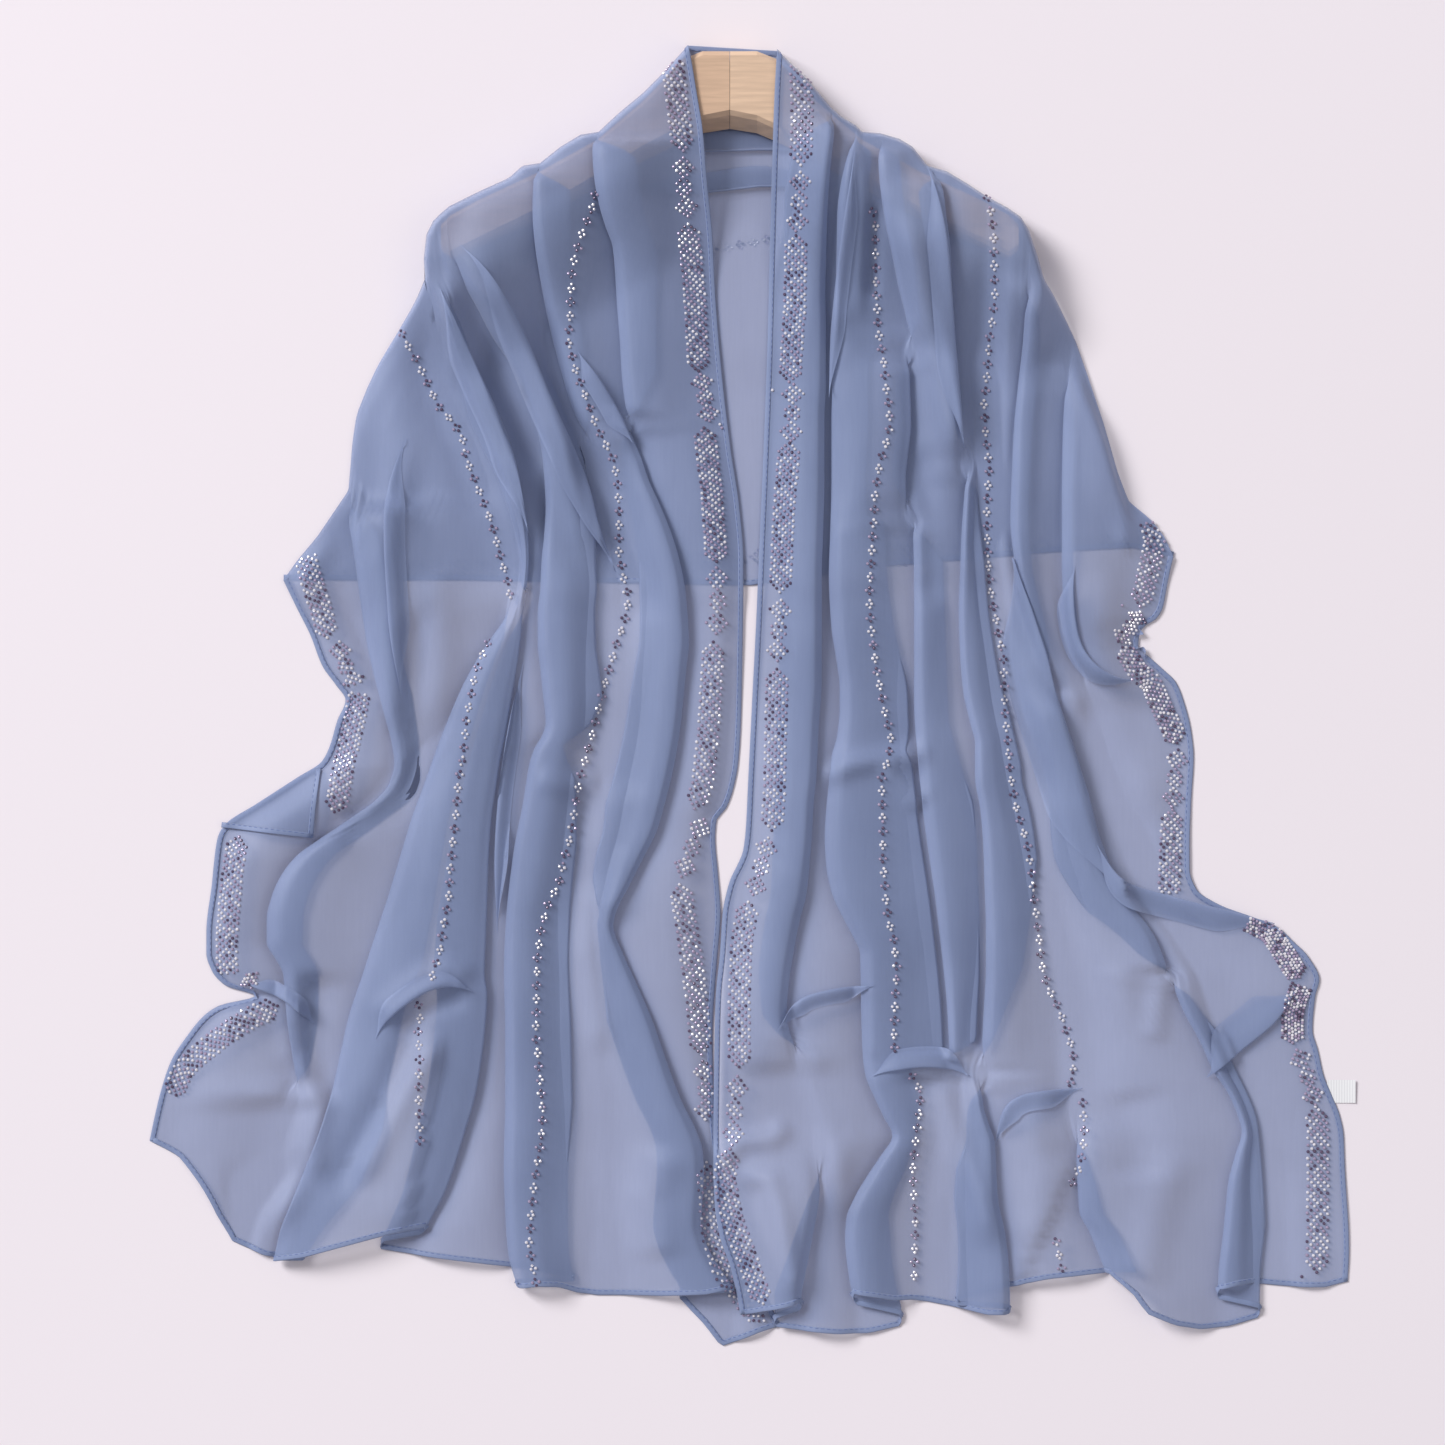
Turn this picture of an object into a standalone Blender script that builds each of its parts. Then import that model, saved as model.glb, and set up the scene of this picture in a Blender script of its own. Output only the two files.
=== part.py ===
# Chiffon scarf laid flat around a wooden coat hanger.
# Origin: centre of the footprint on the surface it lies on. +X right, +Y towards the neck, +Z up.
# The tables are in millimetres; MM turns them to Blender's metres.
import math

import bpy
import numpy as np

MM = 0.001
MIDDLE = (2.0, 3.0, 0.0)   # middle of the footprint in the tables' coordinates

# Cloth
CLOTH = 1.2            # wall of the cloth
LAYER = 3.5            # rise from one layer of a fold to the next
SEAM = 0.3             # gap between pieces that meet
STEP_TUCK = 4.0        # a fold tucked less than this is only a soft step
OPEN_TUCK = 10.0       # from here on the fold lies fully over
FIRST_GROWTH = 3.5     # most that a tuck changes from a row with a step to the next
TUCK_GROWTH = 14.0     # most that it changes from there on
CLOSED_SPREAD = 2.0    # spacing of a fold's points where it is closed
CROWN_SHARE = 0.10     # height of a strip's crown over its width
CROWN_MOST = 6.0
TURN_RADIUS = 5.0      # the shoulder turn, seen from above
LEAST_GAP = 2.6        # between the visible edges of two folds
RISE_MARGIN = 9.0      # kept free between a fold's tuck and the neighbour it rises to
FACING_MARGIN = 14.0   # kept free between two tucks that face each other
EASY_SHARE = 0.08      # of a strip's width, kept free beside a closed fold
EDGE_MARGIN = 10.0     # last inner point of the outermost strip from the free edge
TUCK_STARTS = 14.0     # below the shoulder turn a fold opens from here
TUCK_GROWS = 22.0

# Hanger
HANGER_CENTRE = -15.0
HANGER_SEAM = 0.3
HANGER_DEPTH = 22.0    # thickness at the centre
HANGER_FLARE = 4.0     # added at the tips
HANGER_CHAMFER = 3.5
HANGER_BEVEL = 8.0     # how far the lower face slopes back
COVER_GAP = 3.0        # cloth's middle above the hanger's front face
DRAPE_FALL = 78.0      # how far below the hanger the cloth reaches the surface

# Label
LABEL_SIZE = (21.0, 17.0, 0.6)
LABEL_CENTRE = (437.5, -292.5)
LABEL_LIFT = 1.1

FIRST_DISTANCES = (0.0, 1.2, 3.0, 6.0, 14.0, 30.0)   # rows close to the shoulder turn
LONG_ROWS = 24
HOLD_SHARE = 0.2                  # the outline of the turn is followed down to this share of the length
STRIP_SHARES = (0.16, 0.5, 0.84)  # points across a strip
MITRE_LEAST = 0.68                # keeps the wall from growing long spikes at sharp folds
LEVEL_FROM = 330.0                # rows level out: their common height at the top and at the hem
LEVEL_TO = -440.0
LEFT_LEVELS = 1.0                 # how soon they do: 1 is evenly on the way down
RIGHT_LEVELS = 2.2
FOLD_STARTS = (4.0, 1.5, 1.5, 4.0)  # a fold's four points on the turn, from the end of the strip

# Half the hanger: distance from its centre, upper edge, lower edge of the front face
HANGER_HALF = (
    (0.0, 474.0, 427.0), (20.0, 474.0, 423.0), (35.0, 468.0, 416.0), (50.0, 451.0, 408.0),
    (65.0, 436.0, 400.0), (97.0, 409.0, 380.0), (140.0, 385.0, 355.0), (185.0, 364.0, 333.0),
    (205.0, 353.0, 323.0), (212.0, 346.0, 328.0),
)

# The back's lower edge: X, height
BACK_HEM = ((-345, 86), (-210, 86), (0, 82), (105, 97), (225, 107), (285, 110), (313, 103))
NECK_EDGE = (481.0, 477.0)        # height at the left and right end
HEM_CLEAR = (36.0, 68.0)          # below the hem the fronts come down over this length, by this distance
# Neck pleats: height at the left, height at the right, tuck
NECK_PLEATS = ((402.0, 403.0, 16.0), (371.0, 376.0, 16.0))
PLEAT_CENTRE = -11.0
PLEAT_HALF = 34.0                 # reach to either side
PLEAT_COVER = (290.0, 352.0, 406.0, 450.0)   # heights between which the fronts rise over the pleats
PLEAT_LAYER = 2.3

# Outlines of the two fronts: height, distance outward from the middle
LEFT_OPENING = (
    (480, 46), (470, 44), (440, 39), (415, 35), (380, 32), (340, 28), (300, 26), (260, 23), (220, 19),
    (180, 14), (140, 8), (100, 5), (20, 6), (-50, 9), (-70, 13), (-83, 18), (-92, 25), (-105, 26),
    (-130, 24), (-160, 24), (-200, 27), (-250, 28), (-300, 27), (-350, 22), (-400, 10), (-440, -10),
    (-466, -22),
)
LEFT_OUTER = (
    (86, 345), (65, 335), (45, 325), (22, 316), (8, 306), (-3, 299), (-18, 305), (-38, 311), (-55, 315),
    (-80, 318), (-96, 322), (-104, 388), (-112, 394), (-140, 398), (-175, 402), (-190, 402), (-203, 397),
    (-214, 386), (-221, 368), (-228, 386), (-236, 402), (-250, 415), (-270, 428), (-290, 435),
    (-310, 440), (-329, 444),
)
RIGHT_OPENING = (
    (477, 20), (440, 18), (380, 16), (300, 14), (260, 13), (180, 10), (110, 7), (60, 5), (0, 2),
    (-60, -1), (-115, -5), (-145, -16), (-190, -21), (-250, -26), (-345, -27), (-375, -26), (-400, -22),
    (-420, -15), (-440, -10), (-457, -7),
)
RIGHT_OUTER = (
    (103, 313), (80, 308), (62, 301), (46, 292), (32, 291), (16, 302), (-2, 318), (-25, 326), (-50, 328),
    (-110, 325), (-128, 325), (-143, 332), (-160, 354), (-178, 384), (-195, 407), (-212, 419), (-247, 417),
    (-280, 424), (-310, 436), (-350, 440), (-410, 443), (-433, 442),
)

# Visible edge of each fold, a row for each section: height, then distance outward
LEFT_FOLDS = ("collar", "shoulder", "long", "valley", "sweep", "outer")
LEFT_SECTIONS = (
    (440, 112, 155, 222, 234, 241, 297),
    (400, 113, 155, 222, 234, 241, 297),
    (360, 109, 157, 222, 234, 241, 297),
    (320, 100, 155, 215, 230, 241, 297),
    (280, 97, 149, 197, 216, 230, 297),
    (240, 95, 140, 174, 201, 219, 297),
    (200, 90, 126, 158, 188, 209, 297),
    (160, 75, 116, 152, 172, 191, 297),
    (120, 58, 108, 153, 162, 178, 288),
    (80, 48, 98, 157, 163, 174, 286),
    (40, 45, 95, 157, 169, 189, 283),
    (0, 49, 98, 153, 175, 216, 274),
    (-40, 54, 104, 161, 182, 232, 263),
    (-80, 63, 110, 168, 190, 246, 280),
    (-120, 79, 115, 176, 193, 259, 337),
    (-160, 99, 119, 180, 195, 271, 356),
    (-200, 89, 118, 182, 196, 285, 348),
    (-240, 72, 112, 181, 195, 297, 341),
    (-280, 58, 108, 181, 200, 308, 329),
    (-320, 41, 105, 181, 210, 317, 345),
    (-360, 35, 105, 182, 224, 333, 360),
    (-400, 33, 106, 180, 243, 348, 375),
    (-440, 12, 108, 172, 262, 358, 385),
)
# How far each fold is tucked: + the inner strip lies over, - the outer strip lies over
LEFT_TUCKS = (
    (420, 0, 0, 0, 0, 0, 0),
    (400, 26, 0, 0, 0, 0, 0),
    (370, 30, 22, 0, 0, 0, 0),
    (320, 30, 24, 0, 0, 0, 0),
    (280, 28, 22, 4, -14, 0, 0),
    (240, 24, 20, 12, -16, 0, 0),
    (200, 0, 8, 20, -18, 0, 0),
    (160, -20, 0, 28, -18, 0, 0),
    (120, -24, 0, 30, -12, 0, 14),
    (80, -26, 0, 32, -4, 0, 20),
    (40, -28, 0, 32, -10, 0, 18),
    (0, -28, 0, 32, -18, 16, 18),
    (-80, -28, 0, 34, -24, 26, 22),
    (-160, -14, 0, 30, -26, 28, 30),
    (-240, -20, 0, 30, -26, 26, 20),
    (-280, -22, 0, 30, -26, 18, 8),
    (-320, -20, 0, 32, -24, 14, 0),
    (-400, -24, 0, 30, -20, 12, 0),
    (-440, -38, 0, 24, -16, 10, 0),
)
RIGHT_FOLDS = ("collar", "valley", "shoulder", "long", "hem", "sweep")
RIGHT_SECTIONS = (
    (440, 59, 77, 96, 131, 175, 206),
    (400, 57, 76, 96, 131, 175, 206),
    (360, 55, 67, 99, 139, 174, 206),
    (320, 55, 64, 106, 145, 176, 205),
    (280, 57, 62, 115, 149, 177, 203),
    (240, 58, 61, 118, 152, 177, 199),
    (200, 56, 59, 119, 156, 177, 195),
    (160, 56, 59, 115, 159, 176, 193),
    (120, 55, 58, 122, 156, 176, 193),
    (80, 54, 57, 122, 155, 180, 200),
    (40, 54, 59, 120, 155, 186, 212),
    (0, 52, 63, 120, 158, 193, 224),
    (-40, 50, 59, 123, 166, 203, 236),
    (-80, 48, 54, 127, 170, 212, 247),
    (-120, 44, 53, 132, 173, 220, 259),
    (-160, 38, 66, 138, 174, 228, 285),
    (-200, 30, 81, 143, 174, 236, 307),
    (-240, 28, 82, 147, 172, 240, 323),
    (-280, 42, 85, 148, 171, 240, 344),
    (-320, 52, 102, 148, 178, 240, 363),
    (-360, 56, 82, 145, 183, 241, 353),
    (-400, 48, 70, 140, 189, 253, 349),
    (-440, 38, 75, 138, 192, 268, 345),
)
RIGHT_TUCKS = (
    (420, 0, 0, 0, 0, 0, 0),
    (400, 20, -10, -8, 0, 0, 0),
    (370, 24, -16, -12, 12, 0, 0),
    (320, 24, -22, -14, 14, 0, 0),
    (280, 24, -26, -10, 12, 0, 0),
    (240, 24, -28, 8, 10, 0, -12),
    (200, 24, -28, 12, 6, 0, -14),
    (160, 24, -28, 10, -6, 0, -14),
    (120, 24, -28, 0, -12, 0, -14),
    (40, 24, -26, 0, -16, 0, -10),
    (0, 22, -24, 0, -20, 0, 0),
    (-40, 22, -26, 0, -20, 0, 14),
    (-120, 20, -28, 0, -22, 0, 24),
    (-160, 20, -28, 0, -20, 0, 26),
    (-200, 18, -26, 0, -16, 0, 4),
    (-240, 14, -24, 0, -8, 0, -12),
    (-280, 0, -20, 0, 4, 0, -20),
    (-320, 0, -18, 0, 12, -4, -22),
    (-360, 4, -18, 0, 20, -14, -24),
    (-400, 10, -24, 0, 24, -22, -24),
    (-440, 14, -24, 0, 26, -24, -24),
)

# Where each strip between two folds leaves the shoulder turn: points of distance outward, height
LEFT_TURN = (
    ((46, 480), (66, 458), (88, 437), (112, 416)),
    ((112, 416), (125, 414), (140, 405), (155, 393)),
    ((155, 393), (176, 384), (200, 372), (222, 361)),
    ((222, 361), (229, 355), (234, 350)),
    ((234, 350), (239, 339), (241, 322)),
    ((241, 322), (246, 294), (268, 257), (288, 217), (294, 188), (297, 152)),
    ((297, 152), (320, 118), (345, 86)),
)
RIGHT_TURN = (
    ((20, 477), (32, 466), (45, 454), (60, 435)),
    ((60, 435), (68, 428), (77, 421)),
    ((77, 421), (84, 417), (96, 415)),
    ((96, 415), (112, 410), (122, 402), (131, 391)),
    ((131, 391), (145, 387), (160, 378), (175, 368)),
    ((175, 368), (190, 360), (200, 353), (206, 343)),
    ((206, 343), (236, 273), (262, 200), (278, 146), (292, 125), (304, 108), (313, 103)),
)
# Hem heights of each strip, evenly spaced from its inner to its outer side
LEFT_HEM = (
    (-466, -470, -480, -447), (-437, -442, -443, -443), (-443, -438, -436, -437),
    (-428, -421, -416, -408), (-392, -402, -410, -417), (-417, -415, -411, -403),
    (-403, -385, -362, -329),
)
RIGHT_HEM = (
    (-457, -454, -450, -447), (-466, -470, -471, -466), (-441, -443, -446, -447),
    (-448, -453, -456, -457), (-447, -436, -430, -426), (-426, -462, -468, -455),
    (-438, -434, -437, -433),
)
# The right front crosses over the left one: X where the lift ends, and heights where it starts and is full
CROSSING = {"lift": 5.0, "full_x": 32.0, "end_x": 120.0, "start_y": -140.0, "full_y": -235.0}


def smooth(value):
    t = np.clip(value, 0.0, 1.0)
    return t * t * (3.0 - 2.0 * t)


# A curve through table points that never overshoots them.
def curve(points):
    table = sorted(points)
    x = np.array([p[0] for p in table], float)
    y = np.array([p[1] for p in table], float)
    width = np.diff(x)
    slope = np.diff(y) / width
    tangent = np.zeros(len(x))
    tangent[0] = slope[0]
    tangent[-1] = slope[-1]
    for i in range(1, len(x) - 1):
        if slope[i - 1] * slope[i] > 0.0:
            tangent[i] = 2.0 * slope[i - 1] * slope[i] / (slope[i - 1] + slope[i])

    def at(value):
        value = np.clip(value, x[0], x[-1])
        i = np.clip(np.searchsorted(x, value) - 1, 0, len(width) - 1)
        t = (value - x[i]) / width[i]
        start = (2 * t**3 - 3 * t**2 + 1) * y[i] + (t**3 - 2 * t**2 + t) * width[i] * tangent[i]
        end = (3 * t**2 - 2 * t**3) * y[i + 1] + (t**3 - t**2) * width[i] * tangent[i + 1]
        return start + end

    return at


def straight(points):
    table = sorted(points)
    return lambda value: np.interp(value, [p[0] for p in table], [p[1] for p in table])


def along(points, share):
    places = np.linspace(0.0, 1.0, len(points))
    return [float(np.interp(share, places, [p[axis] for p in points])) for axis in range(2)]


def turn_length(points):
    return sum(math.dist(a, b) for a, b in zip(points[:-1], points[1:]))


def distance_to_line(x, y, line):
    least = 1e9
    for (ax, ay), (bx, by) in zip(line[:-1], line[1:]):
        length = math.hypot(bx - ax, by - ay)
        t = min(1.0, max(0.0, ((x - ax) * (bx - ax) + (y - ay) * (by - ay)) / length**2))
        least = min(least, math.hypot(x - ax - t * (bx - ax), y - ay - t * (by - ay)))
    return least


hanger_top = straight([(row[0], row[1]) for row in HANGER_HALF])
hanger_low = straight([(row[0], row[2]) for row in HANGER_HALF])
hanger_tip = HANGER_HALF[-1][0]
back_hem = straight(BACK_HEM)
on_back = CLOTH + SEAM + CLOTH / 2 + 0.1
on_floor = CLOTH / 2


def hanger_front(from_centre):
    share = min(1.0, abs(from_centre) / hanger_tip)
    return CLOTH + SEAM + HANGER_DEPTH + HANGER_FLARE * share


# Height of the cloth's middle surface where it lies on whatever is under it.
def support(x, y, turn):
    from_centre = abs(x - HANGER_CENTRE)
    floor = on_floor + (on_back - on_floor) * float(smooth((y - back_hem(x) + HEM_CLEAR[1]) / HEM_CLEAR[0]))
    low_end, low_full, high_full, high_end = PLEAT_COVER
    across = 1.0 - smooth((abs(x - PLEAT_CENTRE) - PLEAT_HALF - 10.0) / 60.0)
    up = smooth((y - low_end) / (low_full - low_end)) * (1.0 - smooth((y - high_full) / (high_end - high_full)))
    floor += 2.0 * PLEAT_LAYER * float(across * up)
    below = max(0.0, float(hanger_low(from_centre)) - y)
    beyond = max(0.0, from_centre - hanger_tip)
    away = math.hypot(below, beyond)
    crest = hanger_front(from_centre) + COVER_GAP
    height = floor + (crest - floor) * float(1.0 - smooth(away / DRAPE_FALL))
    inside = min(1.0, distance_to_line(x, y, turn) / TURN_RADIUS)
    return on_back + (height - on_back) * math.sqrt(1.0 - (1.0 - inside) ** 2) if height > on_back else height


# Offsets of a fold's four points: outward distance from its visible edge, and level above the lowest layer.
def fold_points(tuck, spread, layer):
    size = abs(tuck)
    rise = float(smooth(size / STEP_TUCK))
    overlap = max(0.0, size - STEP_TUCK)
    blend = min(1.0, overlap / (OPEN_TUCK - STEP_TUCK))
    closed = [spread * step * (1.0 - rise / 2.0) for step in (-1.5, -0.5, 0.5, 1.5)]
    opened = (0.0, 0.0, -overlap, -overlap) if tuck >= 0.0 else (overlap, overlap, 0.0, 0.0)
    levels = [1.0, 0.66 - 0.1 * blend, 0.34 + 0.1 * blend, 0.0]
    if tuck < 0.0:
        levels.reverse()
    offsets = [c + (o - c) * blend for c, o in zip(closed, opened)]
    return offsets, [2.0 * layer * rise * level for level in levels]


# A row is a distance below the shoulder turn, then a share of the way from there to the hem.
ROW_STEPS = [(d, 0.0) for d in FIRST_DISTANCES]
ROW_STEPS += [(FIRST_DISTANCES[-1], (i + 1) / LONG_ROWS) for i in range(LONG_ROWS)]


def height_on(start, end, step, levels):
    distance, share = step
    level = LEVEL_FROM + (LEVEL_TO - LEVEL_FROM) * share
    return level + (start - distance - LEVEL_FROM) * (1.0 - share) ** levels + (end - LEVEL_TO) * share


# A fold opens and closes over some rows: flat, then only stepped, then lying over.
def stepped_tucks(sizes):
    held = [size if abs(size) >= STEP_TUCK else 0.0 for size in sizes]
    for i in range(1, len(held)):
        if held[i] * held[i - 1] < 0.0:
            held[i] = 0.0
    stepped = list(held)
    for i, size in enumerate(held):
        near = [held[j] for j in (i - 1, i + 1) if 0 <= j < len(held)]
        if any(abs(other) < STEP_TUCK for other in near):
            stepped[i] = math.copysign(min(abs(size), STEP_TUCK), size)
    order = list(range(1, len(stepped)))
    for i, j in [(i, i - 1) for i in order] + [(i - 1, i) for i in reversed(order)]:
        growth = FIRST_GROWTH if abs(stepped[j]) <= STEP_TUCK else TUCK_GROWTH
        stepped[i] = math.copysign(min(abs(stepped[i]), abs(stepped[j]) + growth), stepped[i])
    return stepped


# Tucks held back so that no fold reaches under its neighbour's rise.
def fitted_tucks(edges, tucks):
    fitted = []
    for k, tuck in enumerate(tucks, start=1):
        side = -1 if tuck > 0.0 else 1
        gap = abs(edges[k + side] - edges[k])
        other = k - 1 + side
        facing = 0 <= other < len(tucks) and tucks[other] * tuck < 0.0
        room = (gap - FACING_MARGIN) / 2.0 if facing else gap - RISE_MARGIN
        size = min(abs(tuck), max(0.0, room) + STEP_TUCK)
        if gap < RISE_MARGIN:
            size = min(size, STEP_TUCK * gap / RISE_MARGIN)
        fitted.append(math.copysign(size, tuck))
    return fitted


# Everything one section of a front needs at a height: its lines, its folds and its strips' places.
class Sections:
    def __init__(self, opening, outer, sections, tucks, turn, hem, levels):
        self.count = len(sections[0]) - 1
        self.lines = [curve(opening)]
        self.lines += [curve([(row[0], row[k]) for row in sections]) for k in range(1, self.count + 1)]
        self.lines += [curve(outer)]
        self.tucks = []
        wanted = [straight([(row[0], row[k]) for row in tucks]) for k in range(1, self.count + 1)]
        for k in range(self.count):
            start = turn[k][-1][1]
            end = (hem[k][-1] + hem[k + 1][0]) / 2.0
            heights = [height_on(start, end, step, levels) for step in ROW_STEPS]
            sizes = []
            for y in heights:
                opening_up = float(smooth((start - y - TUCK_STARTS) / TUCK_GROWS))
                tucks_here = [float(line(y)) for line in wanted]
                tucks_here[k] *= opening_up
                sizes.append(fitted_tucks(self.edges(y), tucks_here)[k])
            self.tucks.append(straight(list(zip(heights, stepped_tucks(sizes)))))

    def edges(self, y):
        edges = [float(line(y)) for line in self.lines]
        for k in range(1, len(edges)):
            edges[k] = max(edges[k], edges[k - 1] + LEAST_GAP)
        return edges

    def at(self, y):
        edges = self.edges(y)
        fitted = [float(line(y)) for line in self.tucks]
        gaps = [b - a for a, b in zip(edges[:-1], edges[1:])]
        spreads = [min(CLOSED_SPREAD, before / 8.0, after / 8.0)
                   for before, after in zip([gaps[0]] + gaps, gaps + [gaps[-1]])]
        folds = [fold_points(tuck, spread, LAYER) for tuck, spread in zip(fitted, spreads[1:])]
        places = []
        for k in range(self.count + 1):
            before = fitted[k - 1] if k > 0 else 0.0
            after = fitted[k] if k < self.count else 0.0
            margin = 1.5 * max(spreads[k], spreads[k + 1]) + min(1.5, gaps[k] / 10.0)
            easy = EASY_SHARE * gaps[k]
            first = edges[k] + margin + max(0.0, -before - STEP_TUCK) + easy * (abs(before) < STEP_TUCK)
            last = edges[k + 1] - margin - max(0.0, after - STEP_TUCK) - easy * (abs(after) < STEP_TUCK)
            if k == self.count:
                last = edges[k + 1] - EDGE_MARGIN
            if last - first < 3.0 and before >= 0.0 >= after:
                hidden = max(0.0, before - STEP_TUCK)
                span = gaps[k] + hidden + max(0.0, -after - STEP_TUCK)
                first = edges[k] - hidden + 0.3 * span
                last = edges[k] - hidden + 0.7 * span
            level_in = folds[k - 1][1][3] if k > 0 else 0.0
            level_out = folds[k][1][0] if k < self.count else 0.0
            crown = min(CROWN_MOST, CROWN_SHARE * (last - first))
            level_mid = (level_in + level_out) / 2.0 + crown
            places.append(((first, level_in), ((first + last) / 2.0, level_mid), (last, level_out)))
        return edges, folds, places


# The columns of a front from its opening to its outer edge: start point, hem height, and what to read there.
def front_columns(turn, hem):
    def hem_height(k, share):
        return float(np.interp(share, np.linspace(0.0, 1.0, len(hem[k])), hem[k]))

    columns = [(turn[0][0], hem[0][0], lambda part: (part[0][0], 0.0))]
    for k in range(len(turn)):
        for step, share in enumerate(STRIP_SHARES):
            columns.append((along(turn[k], share), hem_height(k, share),
                            lambda part, k=k, step=step: part[2][k][step]))
        if k == len(turn) - 1:
            continue
        for step, reach in enumerate(FOLD_STARTS):
            strip = k if step < 2 else k + 1
            share = min(reach / turn_length(turn[strip]), 0.1)
            end = hem[k][-1] if step < 2 else hem[k + 1][0]
            columns.append((along(turn[strip], 1.0 - share if step < 2 else share), end,
                            lambda part, k=k, step=step: (
                                part[0][k + 1] + part[1][k][0][step], part[1][k][1][step])))
    columns.append((turn[-1][-1], hem[-1][-1], lambda part: (part[0][-1], 0.0)))
    return columns


# The middle surface of one front as rows of points, from the shoulder turn to the hem.
def front_rows(side, opening, outer, sections, tucks, turn, hem, levels, lift):
    shapes = Sections(opening, outer, sections, tucks, turn, hem, levels)
    outline = [(side * x, y) for strip in turn for x, y in strip]
    outline = [p for p, q in zip(outline, outline[1:] + [None]) if p != q]
    rows = []
    for distance, share in ROW_STEPS:
        hold = max(0.0, 1.0 - share / HOLD_SHARE) ** 2
        row = []
        for (start_x, start_y), end_y, read in front_columns(turn, hem):
            y = height_on(start_y, end_y, (distance, share), levels)
            x, level = read(shapes.at(y))
            if hold > 0.0:
                x += (start_x - read(shapes.at(start_y))[0]) * hold
            level *= float(smooth(distance / FIRST_DISTANCES[-1]))
            row.append((side * x, y, support(side * x, y, outline) + level + lift(side * x, y)))
        rows.append(row)
    return np.array(rows)


def left_lift(x, y):
    return 0.0


def right_lift(x, y):
    near_centre = 1.0 - smooth((x - CROSSING["full_x"]) / (CROSSING["end_x"] - CROSSING["full_x"]))
    low = smooth((CROSSING["start_y"] - y) / (CROSSING["start_y"] - CROSSING["full_y"]))
    near_label = 1.0 - smooth((math.hypot(x - LABEL_CENTRE[0], y - LABEL_CENTRE[1]) - 14.0) / 16.0)
    return CROSSING["lift"] * float(near_centre * low) + LABEL_LIFT * float(near_label)


# The back as rows from the neck edge down, each from the left turn to the right turn.
def back_rows():
    left = straight([(y, -x) for strip in LEFT_TURN for x, y in strip])
    right = straight([(y, x) for strip in RIGHT_TURN for x, y in strip])
    stations = np.concatenate([np.linspace(0.0, 0.35, 5), np.linspace(0.4, 0.6, 13), np.linspace(0.66, 1.0, 5)])

    def place(share, y):
        return float(left(y)) + (float(right(y)) - float(left(y))) * share

    pleats = []
    for left_y, right_y, tuck in NECK_PLEATS:
        reach = [abs(place(share, left_y) - PLEAT_CENTRE) for share in stations]
        pleats.append(stepped_tucks([tuck if aside < PLEAT_HALF else 0.0 for aside in reach]))
    columns = []
    for station, share in enumerate(stations):
        top = NECK_EDGE[0] + (NECK_EDGE[1] - NECK_EDGE[0]) * share
        column = [(place(share, top), top, 0.0), (place(share, 440.0), 440.0, 0.0)]
        for (left_y, right_y, _), tucks in zip(NECK_PLEATS, pleats):
            tuck = tucks[station]
            x = place(share, left_y)
            line = left_y + (right_y - left_y) * float(smooth((x - PLEAT_CENTRE + 30.0) / 60.0))
            offsets, levels = fold_points(-tuck, CLOSED_SPREAD, PLEAT_LAYER)
            column.append((place(share, line + 5.0), line + 5.0, 0.0))
            for offset, level in zip(offsets, levels):
                y = line - offset
                column.append((place(share, y), y, level))
            y = line - max(4.5, tuck - STEP_TUCK + 3.0)
            column.append((place(share, y), y, levels[3]))
        for y in (340.0, 300.0, 250.0, 200.0, 150.0, 125.0):
            column.append((place(share, y), y, 0.0))
        bottom = place(share, 97.0)
        ends = (BACK_HEM[0][0], BACK_HEM[-1][0])
        x = ends[0] + (ends[1] - ends[0]) * share
        column.append((0.5 * (x + bottom) if 0.0 < share < 1.0 else x, float(back_hem(x)), 0.0))
        columns.append([(x, y, on_floor + level) for x, y, level in column])
    return np.array(columns)


def unit(vectors):
    return vectors / np.maximum(np.linalg.norm(vectors, axis=-1, keepdims=True), 1e-9)


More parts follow.
